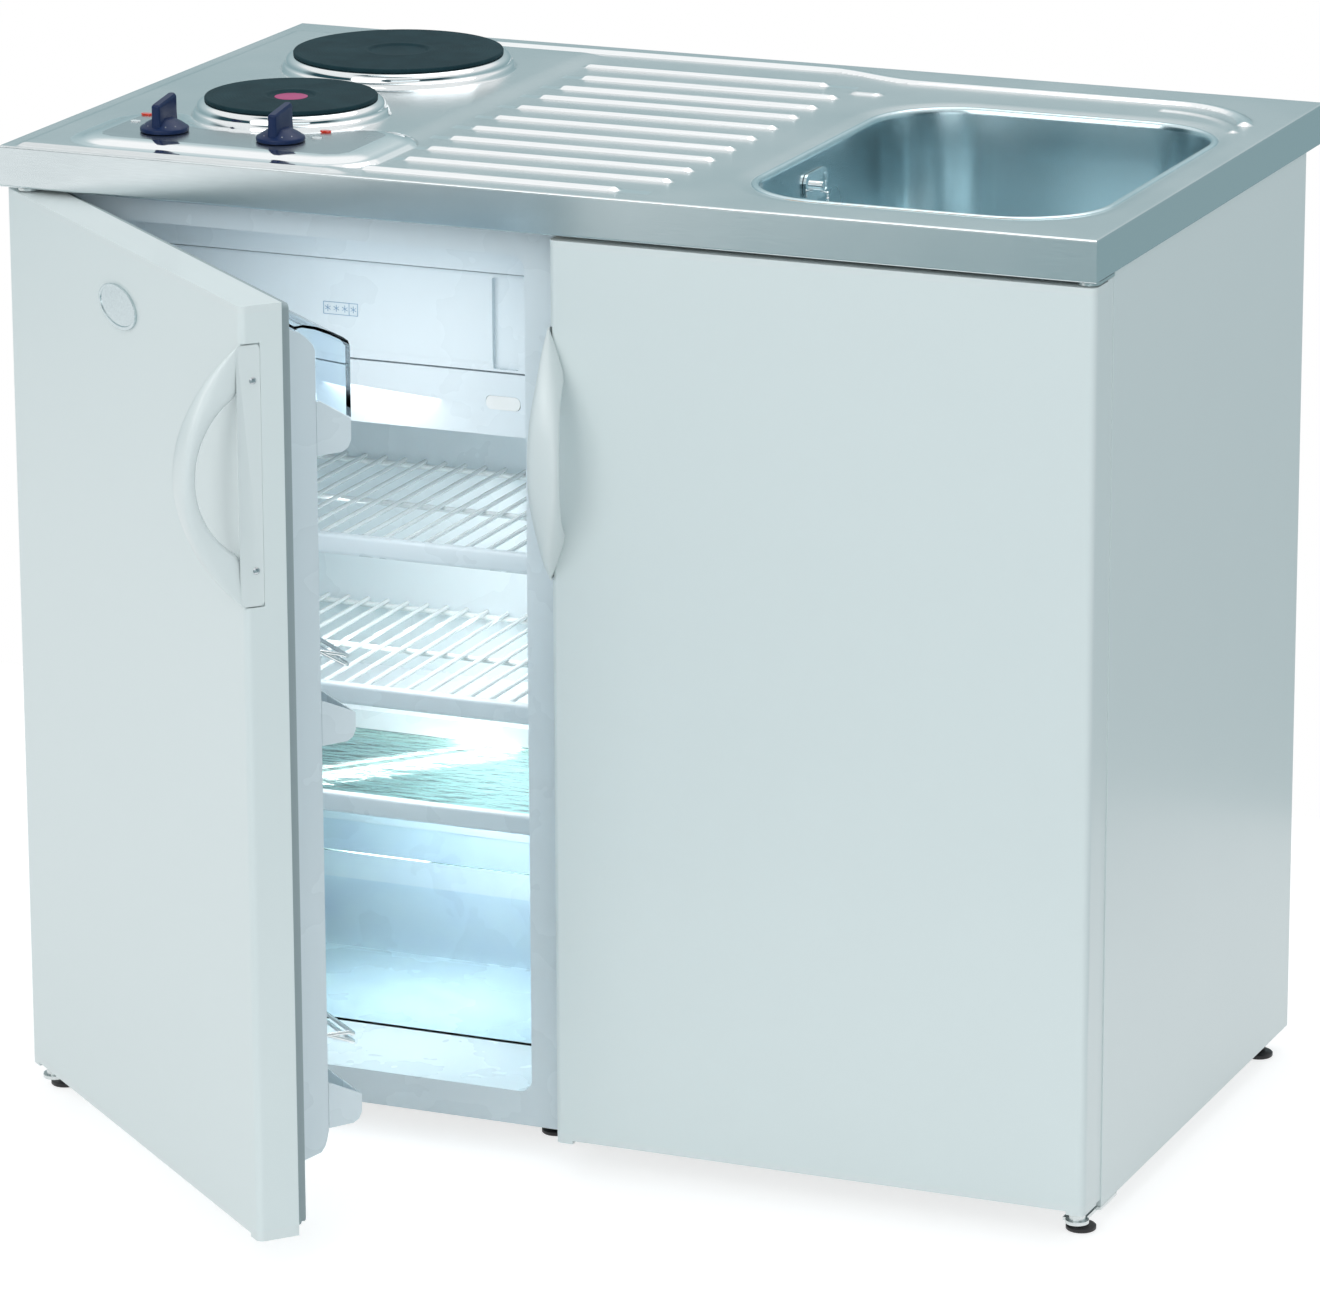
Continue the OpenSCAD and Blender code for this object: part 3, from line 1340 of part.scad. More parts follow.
module foot_front_right() color([0.12, 0.12, 0.12]) foot_at(unit_w - foot_in, foot_front);

module foot_rear_left() color([0.12, 0.12, 0.12]) foot_at(foot_in, rear_foot_y);

module foot_rear_mid() color([0.12, 0.12, 0.12]) foot_at(mid_foot[0], rear_foot_y);

module foot_rear_right() color([0.12, 0.12, 0.12]) foot_at(unit_w - foot_in, rear_foot_y);

worktop();
sink_bowl();
top_frame();
plate_rear();
plate_front();
ring_rear();
ring_front();
knob_left();
knob_right();
spindles();
regulators();
lamp_lenses();
mark_lenses();
waste_fitting();
overflow_plate();
ball_chain();
plug();
bottle_trap();
fridge_case();
fridge_liner();
freezer_box();
freezer_fascia();
freezer_flap();
drip_tray();
lamp_lens();
lamp_housing();
thermostat_knob();
wire_shelf_upper();
wire_shelf_lower();
shelf_trims();
glass_shelf();
crisper();
door_pan_left();
door_caps_left();
door_liner_left();
door_gasket_left();
door_bins();
dairy_lid();
bottle_rails();
handle_left();
oval_plate();
door_pan_right();
door_caps_right();
door_inner_right();
door_gasket_right();
handle_right();
hinge_lower();
hinge_upper();
magnet_catch();
cupboard_shell();
compressor();
compressor_plate();
condenser();
cable_gland();
foot_front_left();
foot_front_mid();
foot_front_right();
foot_rear_left();
foot_rear_mid();
foot_rear_right();
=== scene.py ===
"""Dresses a compact kitchen unit: steel top with two hotplates, drainer and
bowl, over an under-counter refrigerator with its door ajar and a cupboard."""
from __future__ import annotations

import json
import logging
import math
from dataclasses import dataclass
from enum import Enum

import bmesh
import bpy
import numpy as np
from mathutils import Matrix, Vector


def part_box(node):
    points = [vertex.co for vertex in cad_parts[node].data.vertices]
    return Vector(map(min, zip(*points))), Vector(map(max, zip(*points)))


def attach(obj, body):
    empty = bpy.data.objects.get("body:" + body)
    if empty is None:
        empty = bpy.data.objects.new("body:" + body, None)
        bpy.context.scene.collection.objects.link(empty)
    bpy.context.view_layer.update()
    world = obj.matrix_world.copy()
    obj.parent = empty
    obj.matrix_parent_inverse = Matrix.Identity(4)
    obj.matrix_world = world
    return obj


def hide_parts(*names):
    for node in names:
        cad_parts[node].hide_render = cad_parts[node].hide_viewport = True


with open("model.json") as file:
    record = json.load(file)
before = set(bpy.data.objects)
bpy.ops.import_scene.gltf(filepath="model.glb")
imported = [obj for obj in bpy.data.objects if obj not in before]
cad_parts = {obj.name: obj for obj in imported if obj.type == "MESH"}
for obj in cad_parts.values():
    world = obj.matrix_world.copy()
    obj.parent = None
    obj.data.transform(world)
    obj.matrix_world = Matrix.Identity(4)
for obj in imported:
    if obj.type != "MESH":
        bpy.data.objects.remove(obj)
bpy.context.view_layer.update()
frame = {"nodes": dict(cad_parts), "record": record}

log = logging.getLogger("kitchen_unit")

Pair = tuple[float, float]
Pairs = tuple[Pair, ...]
Rgb = tuple[float, float, float]
Point = tuple[float, float, float]
Points = np.ndarray
Form = tuple[list, list]
Tree = bpy.types.NodeTree
Socket = bpy.types.NodeSocket

# Millimetres: x from the left end, y back from the top's front edge, z up
# from the floor.
UNIT_W = 1000.0
TOP_D = 600.0
TOP_Z = 865.0
LIP_Z = 829.0
DOOR_TOP = 825.0
HINGE_L = (22.0, 12.0)
DOOR_ANGLE = 40.7
DOOR_X_RIGHT = 516.0
PANEL_H = 8.0
PLATE_X = 181.0
# distance of a plate's middle from the front edge, and its radius
PLATES = {"rear": (426.0, 95.0), "front": (204.0, 76.0)}
MID_Y = -1000.0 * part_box("worktop")[0][1]

TO_CABINET = Matrix.Scale(0.001, 4) @ Matrix.Translation((-UNIT_W / 2, -MID_Y, 0.0))
TO_FRIDGE_DOOR = (TO_CABINET @ Matrix.Translation((*HINGE_L, 0.0))
                  @ Matrix.Rotation(math.radians(-DOOR_ANGLE), 4, "Z")
                  @ Matrix.Translation((-HINGE_L[0], -HINGE_L[1], 0.0)))
TO_CUPBOARD_DOOR = TO_CABINET @ Matrix.Translation((DOOR_X_RIGHT, 0.0, 0.0))

# levels of a noise between which the colour or the roughness changes
TINT_SPAN = (0.32, 0.68)
ROUGH_SPAN = (0.3, 0.7)


class Axis(Enum):
    """Direction in which a sheet was rolled or brushed."""

    X = (0.06, 1.0, 1.0)
    Y = (1.0, 0.06, 1.0)
    Z = (1.0, 1.0, 0.06)
    NONE = (1.0, 1.0, 1.0)


# ---------- shader nodes ----------

def feed(tree: Tree, target: Socket, value: object) -> None:
    """Links a socket to an input, or sets the input's plain value.

    Args:
        tree: Tree of both.
        target: The input.
        value: Socket or plain value.
    """
    if isinstance(value, Socket):
        tree.links.new(value, target)
    else:
        target.default_value = value


def add_node(tree: Tree, kind: str, *values: object) -> bpy.types.Node:
    """Adds a shader node and feeds its first inputs in their order.

    Args:
        tree: Tree to add to.
        kind: The node's type without the common prefix.
        *values: Sockets or plain values.

    Returns:
        The node.
    """
    node = tree.nodes.new("ShaderNode" + kind)
    for target, value in zip(node.inputs, values):
        feed(tree, target, value)
    return node


def math_node(tree: Tree, operation: str, *values: object, clamp: bool = False) -> Socket:
    """Adds a Math node.

    Args:
        tree: Tree to add to.
        operation: Blender's name of the operation.
        *values: Sockets or numbers.
        clamp: Whether the result is held between 0 and 1.

    Returns:
        The node's output.
    """
    node = add_node(tree, "Math")
    node.operation = operation
    node.use_clamp = clamp
    for target, value in zip(node.inputs, values):
        feed(tree, target, value)
    return node.outputs[0]


def build_group(name: str, inputs: dict[str, object], noises: dict[str, tuple[str, float]],
                share: float = 0.0) -> Tree:
    """Builds a shader group of two noises over the piece's own coordinates.

    The first noise follows the Stretch input where there is one. The Height
    output is the first noise with a share of the second.

    Args:
        name: Name of the group.
        inputs: Default of each input: a number, or three for a vector.
        noises: For each output, the input with its noise's scale, and its octaves.
        share: Share of the second noise in the height.

    Returns:
        The group.
    """
    group = bpy.data.node_groups.new(name, "ShaderNodeTree")
    for label, value in inputs.items():
        kind = "NodeSocketVector" if isinstance(value, tuple) else "NodeSocketFloat"
        socket = group.interface.new_socket(label, in_out="INPUT", socket_type=kind)
        socket.default_value = value
    for label in (*noises, "Height"):
        group.interface.new_socket(label, in_out="OUTPUT", socket_type="NodeSocketFloat")
    source = group.nodes.new("NodeGroupInput").outputs
    sink = group.nodes.new("NodeGroupOutput").inputs
    place = add_node(group, "TexCoord").outputs["Object"]
    places = [place, place]
    if "Stretch" in inputs:
        stretch = add_node(group, "VectorMath", place, source["Stretch"])
        stretch.operation = "MULTIPLY"
        places[0] = stretch.outputs[0]
    made = []
    for vector, (label, (scale, octaves)) in zip(places, noises.items()):
        noise = add_node(group, "TexNoise", vector)
        group.links.new(source[scale], noise.inputs["Scale"])
        noise.inputs["Detail"].default_value = octaves
        group.links.new(noise.outputs[0], sink[label])
        made.append(noise.outputs[0])
    height = math_node(group, "MULTIPLY_ADD", made[1], share, made[0]) if share else made[0]
    group.links.new(height, sink["Height"])
    return group


# brushed or rolled streaks along one axis, over slow cloudiness
GRAIN = build_group("Rolled Grain", {"Scale": 900.0, "Stretch": (0.06, 1.0, 1.0), "Clouds": 9.0},
                    {"Streaks": ("Scale", 4.0), "Cloud": ("Clouds", 2.0)})
# slight waviness of sprayed lacquer or moulded plastic, with a faint mottle
PEEL = build_group("Lacquer Peel", {"Peel Scale": 420.0, "Mottle Scale": 14.0},
                   {"Waves": ("Peel Scale", 1.5), "Mottle": ("Mottle Scale", 3.0)})
# dry grit of cast iron, rubber and crude moulding
SPECKLE = build_group("Cast Speckle", {"Grit Scale": 1400.0, "Patch Scale": 40.0},
                      {"Grit": ("Grit Scale", 2.0), "Patch": ("Patch Scale", 4.0)}, 0.3)


class Shader:
    """A material whose colour, roughness and bump follow one shader group."""

    def __init__(self, name: str, group: Tree, tint: str, rough: str,
                 **values: object) -> None:
        """Starts the material.

        Args:
            name: Name of the finish.
            group: The shader group.
            tint: The group's output that varies the colour.
            rough: The group's output that varies the roughness.
            **values: Inputs of the group, with underscores for spaces.
        """
        self.material = bpy.data.materials.new(name)
        self.material.use_nodes = True
        self.tree = self.material.node_tree
        self.tree.nodes.clear()
        self.body = add_node(self.tree, "BsdfPrincipled")
        add_node(self.tree, "OutputMaterial", self.body.outputs[0])
        node = add_node(self.tree, "Group")
        node.node_tree = group
        for label, value in values.items():
            node.inputs[label.replace("_", " ")].default_value = value
        self.masks = node.outputs[tint], node.outputs[rough], node.outputs["Height"]

    def paint(self, dark: Rgb, light: Rgb, rough: Pair | None, depth: float) -> None:
        """Feeds colour, roughness and normal.

        Args:
            dark: Colour at the noise's low end.
            light: Colour at its high end.
            rough: Roughness at the low and high end, or None for a plain one.
            depth: Depth of the bump in metres, or 0 for none.
        """
        tint, level, height = self.masks
        ramp = add_node(self.tree, "ValToRGB", tint)
        for element, spot, color in zip(ramp.color_ramp.elements, TINT_SPAN, (dark, light)):
            element.position = spot
            element.color = (*color, 1.0)
        self.tree.links.new(ramp.outputs[0], self.body.inputs["Base Color"])
        if rough:
            span = add_node(self.tree, "MapRange", level, *ROUGH_SPAN, *rough)
            self.tree.links.new(span.outputs[0], self.body.inputs["Roughness"])
        if depth:
            bump = add_node(self.tree, "Bump", 1.0, depth)
            self.tree.links.new(height, bump.inputs["Height"])
            self.tree.links.new(bump.outputs[0], self.body.inputs["Normal"])


@dataclass(frozen=True)
class SteelFinish:
    """Bare metal: rolled, brushed or polished."""

    name: str
    color: Rgb
    rough: Pair
    depth: float = 2e-5
    scale: float = 900.0
    contrast: float = 0.06
    axis: Axis = Axis.X

    def material(self) -> bpy.types.Material:
        """Builds the material and returns it."""
        shader = Shader(self.name, GRAIN, "Streaks", "Cloud", Scale=self.scale,
                        Stretch=self.axis.value)
        shader.paint(tuple(max(0.0, c - self.contrast) for c in self.color),
                     tuple(min(1.0, c + self.contrast) for c in self.color),
                     self.rough, self.depth)
        shader.body.inputs["Metallic"].default_value = 1.0
        return shader.material


@dataclass(frozen=True)
class LacquerFinish:
    """Sprayed lacquer or glossy moulded plastic."""

    name: str
    color: Rgb
    rough: Pair = (0.24, 0.34)
    coat: float = 0.25
    depth: float = 6e-6
    peel: float = 420.0
    shade: float = 0.01
    sheen: float = 0.5

    def material(self) -> bpy.types.Material:
        """Builds the material and returns it."""
        shader = Shader(self.name, PEEL, "Mottle", "Mottle", Peel_Scale=self.peel)
        dark = tuple(c - self.shade * c for c in self.color)
        shader.paint(dark, self.color, self.rough, self.depth)
        shader.body.inputs["Coat Weight"].default_value = self.coat
        shader.body.inputs["Coat Roughness"].default_value = 0.12
        shader.body.inputs["Specular IOR Level"].default_value = self.sheen
        return shader.material


@dataclass(frozen=True)
class GrittyFinish:
    """Cast iron, rubber, ceramic and crude moulding."""

    name: str
    color: Rgb
    light: Rgb
    rough: Pair = (0.55, 0.75)
    depth: float = 6e-5
    sheen: float = 0.5

    def material(self) -> bpy.types.Material:
        """Builds the material and returns it."""
        shader = Shader(self.name, SPECKLE, "Patch", "Grit")
        shader.paint(self.color, self.light, self.rough, self.depth)
        shader.body.inputs["Specular IOR Level"].default_value = self.sheen
        return shader.material


@dataclass(frozen=True)
class WoodFinish:
    """Planed softwood with long grain."""

    name: str
    color: Rgb
    light: Rgb

    def material(self) -> bpy.types.Material:
        """Builds the material and returns it."""
        shader = Shader(self.name, GRAIN, "Streaks", "Cloud", Scale=220.0,
                        Stretch=(0.08, 1.0, 1.0), Clouds=20.0)
        shader.paint(self.color, self.light, (0.55, 0.75), 0.0002)
        return shader.material


@dataclass(frozen=True)
class GlassFinish:
    """Clear or tinted glass and clear plastic."""

    name: str
    color: Rgb
    rough: float
    ripple: float
    ior: float

    def material(self) -> bpy.types.Material:
        """Builds the material and returns it."""
        shader = Shader(self.name, GRAIN, "Cloud", "Cloud", Scale=95.0,
                        Stretch=(0.35, 1.0, 1.0), Clouds=30.0)
        pale = tuple(min(1.0, c + 0.04) for c in self.color)
        shader.paint(self.color, pale, None, self.ripple)
        shader.body.inputs["Roughness"].default_value = self.rough
        shader.body.inputs["IOR"].default_value = self.ior
        shader.body.inputs["Transmission Weight"].default_value = 1.0
        return shader.material


class Palette:
    """Every finish of the unit, built once and handed out by its name."""

    FINISHES = {finish.name: finish for finish in (
        SteelFinish("steel_top", (0.72, 0.76, 0.77), (0.20, 0.27), 4e-6, 1200.0, 0.025),
        # lighter, glossier copy of the top steel: painted highlight on pressed beads, collars,
        # slopes and rim
        SteelFinish("pressed_painted_highlight", (0.90, 0.93, 0.94), (0.06, 0.11), 1e-6, 1200.0, 0.02),
        # darker copy of the top steel: painted shade on the control panel's flat top
        SteelFinish("panel_painted_shade", (0.52, 0.57, 0.59), (0.22, 0.30), 4e-6, 1200.0, 0.03),
        SteelFinish("fold_steel", (0.70, 0.75, 0.76), (0.19, 0.25), 3e-6, 1200.0, 0.025),
        # darker, cyan copy of the top steel: painted shade inside the bowl, with its grain along Y
        SteelFinish("bowl_steel_painted_shade", (0.60, 0.73, 0.77), (0.2, 0.28), 6e-6, 1000.0, 0.03, Axis.Y),
        SteelFinish("polished_steel", (0.80, 0.83, 0.84), (0.05, 0.1), 2e-6, 700.0, 0.02,
                    Axis.NONE),
        SteelFinish("spindle_steel", (0.6, 0.6, 0.6), (0.2, 0.3), axis=Axis.Z),
        SteelFinish("freezer_alu", (0.72, 0.77, 0.8), (0.3, 0.42)),
        SteelFinish("badge_metal", (0.60, 0.68, 0.70), (0.16, 0.22)),
        SteelFinish("hinge_steel", (0.66, 0.7, 0.7), (0.25, 0.35)),
        SteelFinish("grey_steel", (0.32, 0.33, 0.34), (0.35, 0.5)),
        SteelFinish("screw_steel", (0.55, 0.58, 0.6), (0.25, 0.35), axis=Axis.NONE),
        GrittyFinish("black_steel", (0.018, 0.018, 0.02), (0.03, 0.03, 0.033), (0.4, 0.55), 4e-5),
        GrittyFinish("plate_iron", (0.007, 0.028, 0.036), (0.012, 0.040, 0.050), (0.55, 0.68),
                     4e-5, 0.1),
        GrittyFinish("ceramic_base", (0.72, 0.71, 0.66), (0.8, 0.79, 0.75)),
        GrittyFinish("plug_rubber", (0.015, 0.015, 0.017), (0.03, 0.03, 0.032), (0.5, 0.65)),
        GrittyFinish("gland_rubber", (0.012, 0.012, 0.013), (0.025, 0.025, 0.026), (0.5, 0.65)),
        GrittyFinish("foot_plastic", (0.012, 0.012, 0.014), (0.022, 0.022, 0.024), (0.4, 0.55)),
        WoodFinish("wood_frame", (0.36, 0.24, 0.13), (0.52, 0.37, 0.22)),
        LacquerFinish("knob_plastic", (0.007, 0.022, 0.080), (0.34, 0.42), 0.05, 1e-5, 900.0,
                      0.15, 0.22),
        LacquerFinish("lamp_red", (0.75, 0.045, 0.02), (0.12, 0.2), 0.6),
        LacquerFinish("mark_white", (0.86, 0.88, 0.88), (0.15, 0.22), 0.5),
        LacquerFinish("case_white", (0.75, 0.82, 0.82), (0.30, 0.33), 0.12, 4e-6, 600.0, 0.004),
        LacquerFinish("cap_white", (0.76, 0.82, 0.82), (0.30, 0.35), 0.15, 4e-6, 600.0, 0.004),
        LacquerFinish("liner_plastic", (0.75, 0.83, 0.87), (0.26, 0.29), 0.15, 5e-6, 500.0, 0.004),
        LacquerFinish("lamp_white", (0.85, 0.87, 0.86), (0.2, 0.3)),
        LacquerFinish("shelf_wire", (0.82, 0.87, 0.88), (0.18, 0.26), 0.5),
        LacquerFinish("seal_rubber", (0.34, 0.41, 0.43), (0.5, 0.65), 0.0),
        LacquerFinish("catch_plastic", (0.8, 0.8, 0.77), (0.35, 0.45), 0.0),
        LacquerFinish("trap_plastic", (0.82, 0.83, 0.82), (0.35, 0.45), 0.0),
        LacquerFinish("plate_dot", (0.42, 0.03, 0.16), (0.4, 0.5), 0.0),
        LacquerFinish("frost_ink", (0.20, 0.36, 0.52), (0.4, 0.5), 0.0),
        GlassFinish("shelf_glass", (0.55, 0.86, 0.78), 0.08, 0.0012, 1.5),
        GlassFinish("clear_plastic", (0.86, 0.93, 0.99), 0.02, 0.0, 1.08),
    )}
    # record's slot of each finish that isn't a slot's own
    SLOT_OF = {"bowl_steel_painted_shade": "steel_top", "pressed_painted_highlight": "steel_top",
               "panel_painted_shade": "steel_top", "fold_steel": "steel_top",
               "plate_dot": "lamp_red", "frost_ink": "liner_plastic",
               "screw_steel": "hinge_steel"}

    def __init__(self) -> None:
        """Builds nothing until a finish is asked for."""
        self.built: dict[str, bpy.types.Material] = {}

    def get(self, name: str) -> bpy.types.Material:
        """Returns a finish's material, building it at first use.

        Args:
            name: Name of the finish.

        Returns:
            The material.
        """
        if name not in self.built:
            self.built[name] = self.FINISHES[name].material()
        return self.built[name]

    def slot(self, name: str) -> str:
        """Returns the record's slot name that a finish belongs to."""
        return self.SLOT_OF.get(name, name)


PALETTE = Palette()


# ---------- mesh helpers ----------

def add_piece(name: str, form: Form, finish: str, body: str = "cabinet",
              to_row: Matrix = TO_CABINET, sharp: float | None = 35.0,
              replaces: tuple[str, ...] = ()) -> bpy.types.Object:
    """Makes a mesh object from local millimetres, sets it on its body and hides what it replaces.

    Args:
        name: Name of the piece.
        form: Vertices in the local frame, and faces.
        finish: Name of the finish.
        body: Body that the piece rides on.
        to_row: Matrix from the local frame to the model's metres.
        sharp: Angle over which an edge stays sharp, or None for all smooth.
        replaces: Nodes that the piece stands for.

    Returns:
        The object.
    """
    mesh = bpy.data.meshes.new(name)
    mesh.from_pydata([tuple(map(float, v)) for v in form[0]], [], form[1])
    mesh.transform(to_row)
    build = bmesh.new()
    build.from_mesh(mesh)
    bmesh.ops.recalc_face_normals(build, faces=build.faces)
    build.to_mesh(mesh)
    build.free()
    mesh.shade_smooth()
    if sharp is not None:
        mesh.set_sharp_from_angle(angle=math.radians(sharp))
    mesh.materials.append(PALETTE.get(finish))
    piece = bpy.data.objects.new(name, mesh)
    bpy.context.scene.collection.objects.link(piece)
    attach(piece, body)
    PALETTE.slot(finish)
    if replaces:
        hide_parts(*replaces)
    return piece


def polar(center: Pair, radius: float, angle: float) -> Pair:
    """Returns the point at a radius and an angle round a centre."""
    return center[0] + radius * math.cos(angle), center[1] + radius * math.sin(angle)


def bridge(rings: list[list[int]]) -> list[tuple[int, ...]]:
    """Joins neighbouring rings of vertices with faces.

    Args:
        rings: Rings of one length, or of one vertex for a tip.

    Returns:
        The faces.
    """
    faces: list[tuple[int, ...]] = []
    for a, b in zip(rings, rings[1:]):
        n = max(len(a), len(b))
        for i in range(n):
            j = (i + 1) % n
            if len(a) == 1:
                faces.append((a[0], b[i], b[j]))
            elif len(b) == 1:
                faces.append((a[i], a[j], b[0]))
            else:
                faces.append((a[i], a[j], b[j], b[i]))
    return faces


def lathe(profile: list[Pair], sides: int = 96, center: Point = (0.0, 0.0, 0.0)) -> Form:
    """Turns an open profile round the vertical axis.

    Args:
        profile: Radius and height pairs; a radius of 0 closes the form.
        sides: Number of sides.
        center: Place of the axis' origin.

    Returns:
        Vertices and faces.
    """
    verts: list[Point] = []
    rings: list[list[int]] = []
    for radius, height in profile:
        count = 1 if radius < 1e-6 else sides
        rings.append(list(range(len(verts), len(verts) + count)))
        for i in range(count):
            verts.append((*polar(center[:2], radius, 2 * math.pi * i / sides),
                          center[2] + height))
    return verts, bridge(rings)


def loft(sections: list[list[Point]], caps: bool = True) -> Form:
    """Skins a row of closed sections.

    Args:
        sections: Sections with one number of points each.
        caps: Whether the two ends are closed.

    Returns:
        Vertices and faces.
    """
    n = len(sections[0])
    verts = [p for s in sections for p in s]
    rings = [[k * n + i for i in range(n)] for k in range(len(sections))]
    faces = bridge(rings)
    if caps:
        faces += [tuple(reversed(rings[0])), tuple(rings[-1])]
    return verts, faces


def tube(path: list[Point], radius: float, sides: int = 12) -> Form:
    """Sweeps a round section along a path.

    Args:
        path: Points of the path.
        radius: Radius of the section.
        sides: Number of sides.

    Returns:
        Vertices and faces.
    """
    points = [Vector(p) for p in path]
    sections = []
    side = (points[1] - points[0]).normalized().orthogonal().normalized()
    for i, point in enumerate(points):
        before, after = points[max(i - 1, 0)], points[min(i + 1, len(points) - 1)]
        tangent = (after - before).normalized()
        side = (side - tangent * side.dot(tangent)).normalized()
        other = tangent.cross(side)
        sections.append([tuple(point + radius * (math.cos(t) * side + math.sin(t) * other))
                         for t in (2 * math.pi * k / sides for k in range(sides))])
    return loft(sections)


def merge(*parts: Form) -> Form:
    """Puts several forms into one.

    Args:
        *parts: Pairs of vertices and faces.

    Returns:
        Vertices and faces.
    """
    verts: list = []
    faces: list = []
    for part_verts, part_faces in parts:
        base = len(verts)
        verts.extend(part_verts)
        faces.extend(tuple(i + base for i in f) for f in part_faces)
    return verts, faces


def ball(center: Point, radius: float, rings: int, sides: int) -> Form:
    """Makes a round bead.

    Args:
        center: Middle of the bead.
        radius: Radius.
        rings: Number of bands from pole to pole.
        sides: Number of sides.

    Returns:
        Vertices and faces.
    """
    turns = [math.pi * i / rings for i in range(1, rings)]
    middle = [(radius * math.sin(t), -radius * math.cos(t)) for t in turns]
    return lathe([(0.0, -radius), *middle, (0.0, radius)], sides, center)


def smooth(x: Points, a: float, b: float) -> Points:
    """Eased step from 0 at a to 1 at b, for arrays."""
    t = np.clip((x - a) / (b - a), 0.0, 1.0)
    return t * t * (3.0 - 2.0 * t)


def path_distance(x: Points, y: Points, path: list[Pair]) -> Points:
    """Distance to an open path.

    Args:
        x: X of the points.
        y: Y of the points.
        path: Points of the path.

    Returns:
        The distances.
    """
    best = np.full(x.shape, np.inf)
    for (ax, ay), (bx, by) in zip(path, path[1:]):
        dx, dy = bx - ax, by - ay
        t = np.clip(((x - ax) * dx + (y - ay) * dy) / (dx * dx + dy * dy), 0, 1)
        best = np.minimum(best, np.hypot(x - ax - t * dx, y - ay - t * dy))
    return best


@dataclass(frozen=True)
class Rect:
    """Rounded rectangle: left, right, front and back side, corner radius."""

    x0: float
    x1: float
    y0: float
    y1: float
    r: float

    @property
    def center(self) -> Pair:
        """Middle of the rectangle."""
        return (self.x0 + self.x1) / 2, (self.y0 + self.y1) / 2

    def grown(self, by: float) -> Rect:
        """Returns the rectangle with every side moved out by a distance."""
        return Rect(self.x0 - by, self.x1 + by, self.y0 - by, self.y1 + by, self.r + by)

    def distance(self, x: Points, y: Points) -> Points:
        """Signed distance to the outline, negative inside.

        Args:
            x: X of the points.
            y: Y of the points.

        Returns:
            The distances.
        """
        cx, cy = self.center
        qx = np.abs(x - cx) - (self.x1 - self.x0) / 2 + self.r
        qy = np.abs(y - cy) - (self.y1 - self.y0) / 2 + self.r
        outside = np.hypot(np.maximum(qx, 0), np.maximum(qy, 0))
        return outside + np.minimum(np.maximum(qx, qy), 0) - self.r

    def outline(self, per_corner: int = 16, per_side: int = 16) -> list[Pair]:
        """Outline with a fixed number of points.

        Args:
            per_corner: Points on each corner.
            per_side: Steps on each straight side.

        Returns:
            The points, counter-clockwise.
        """
        r = self.r
        corners = []
        for cx, cy, start in ((self.x1 - r, self.y0 + r, -90), (self.x1 - r, self.y1 - r, 0),
                              (self.x0 + r, self.y1 - r, 90), (self.x0 + r, self.y0 + r, 180)):
            turns = [math.radians(start + 90.0 * i / (per_corner - 1)) for i in range(per_corner)]
            corners.append([polar((cx, cy), r, t) for t in turns])
        out: list[Pair] = []
        for k, corner in enumerate(corners):
            (ax, ay), (bx, by) = corner[-1], corners[(k + 1) % 4][0]
            out += corner
            for i in range(1, per_side):
                f = i / per_side
                out.append((ax + (bx - ax) * f, ay + (by - ay) * f))
        return out


# ---------- sub-assemblies ----------

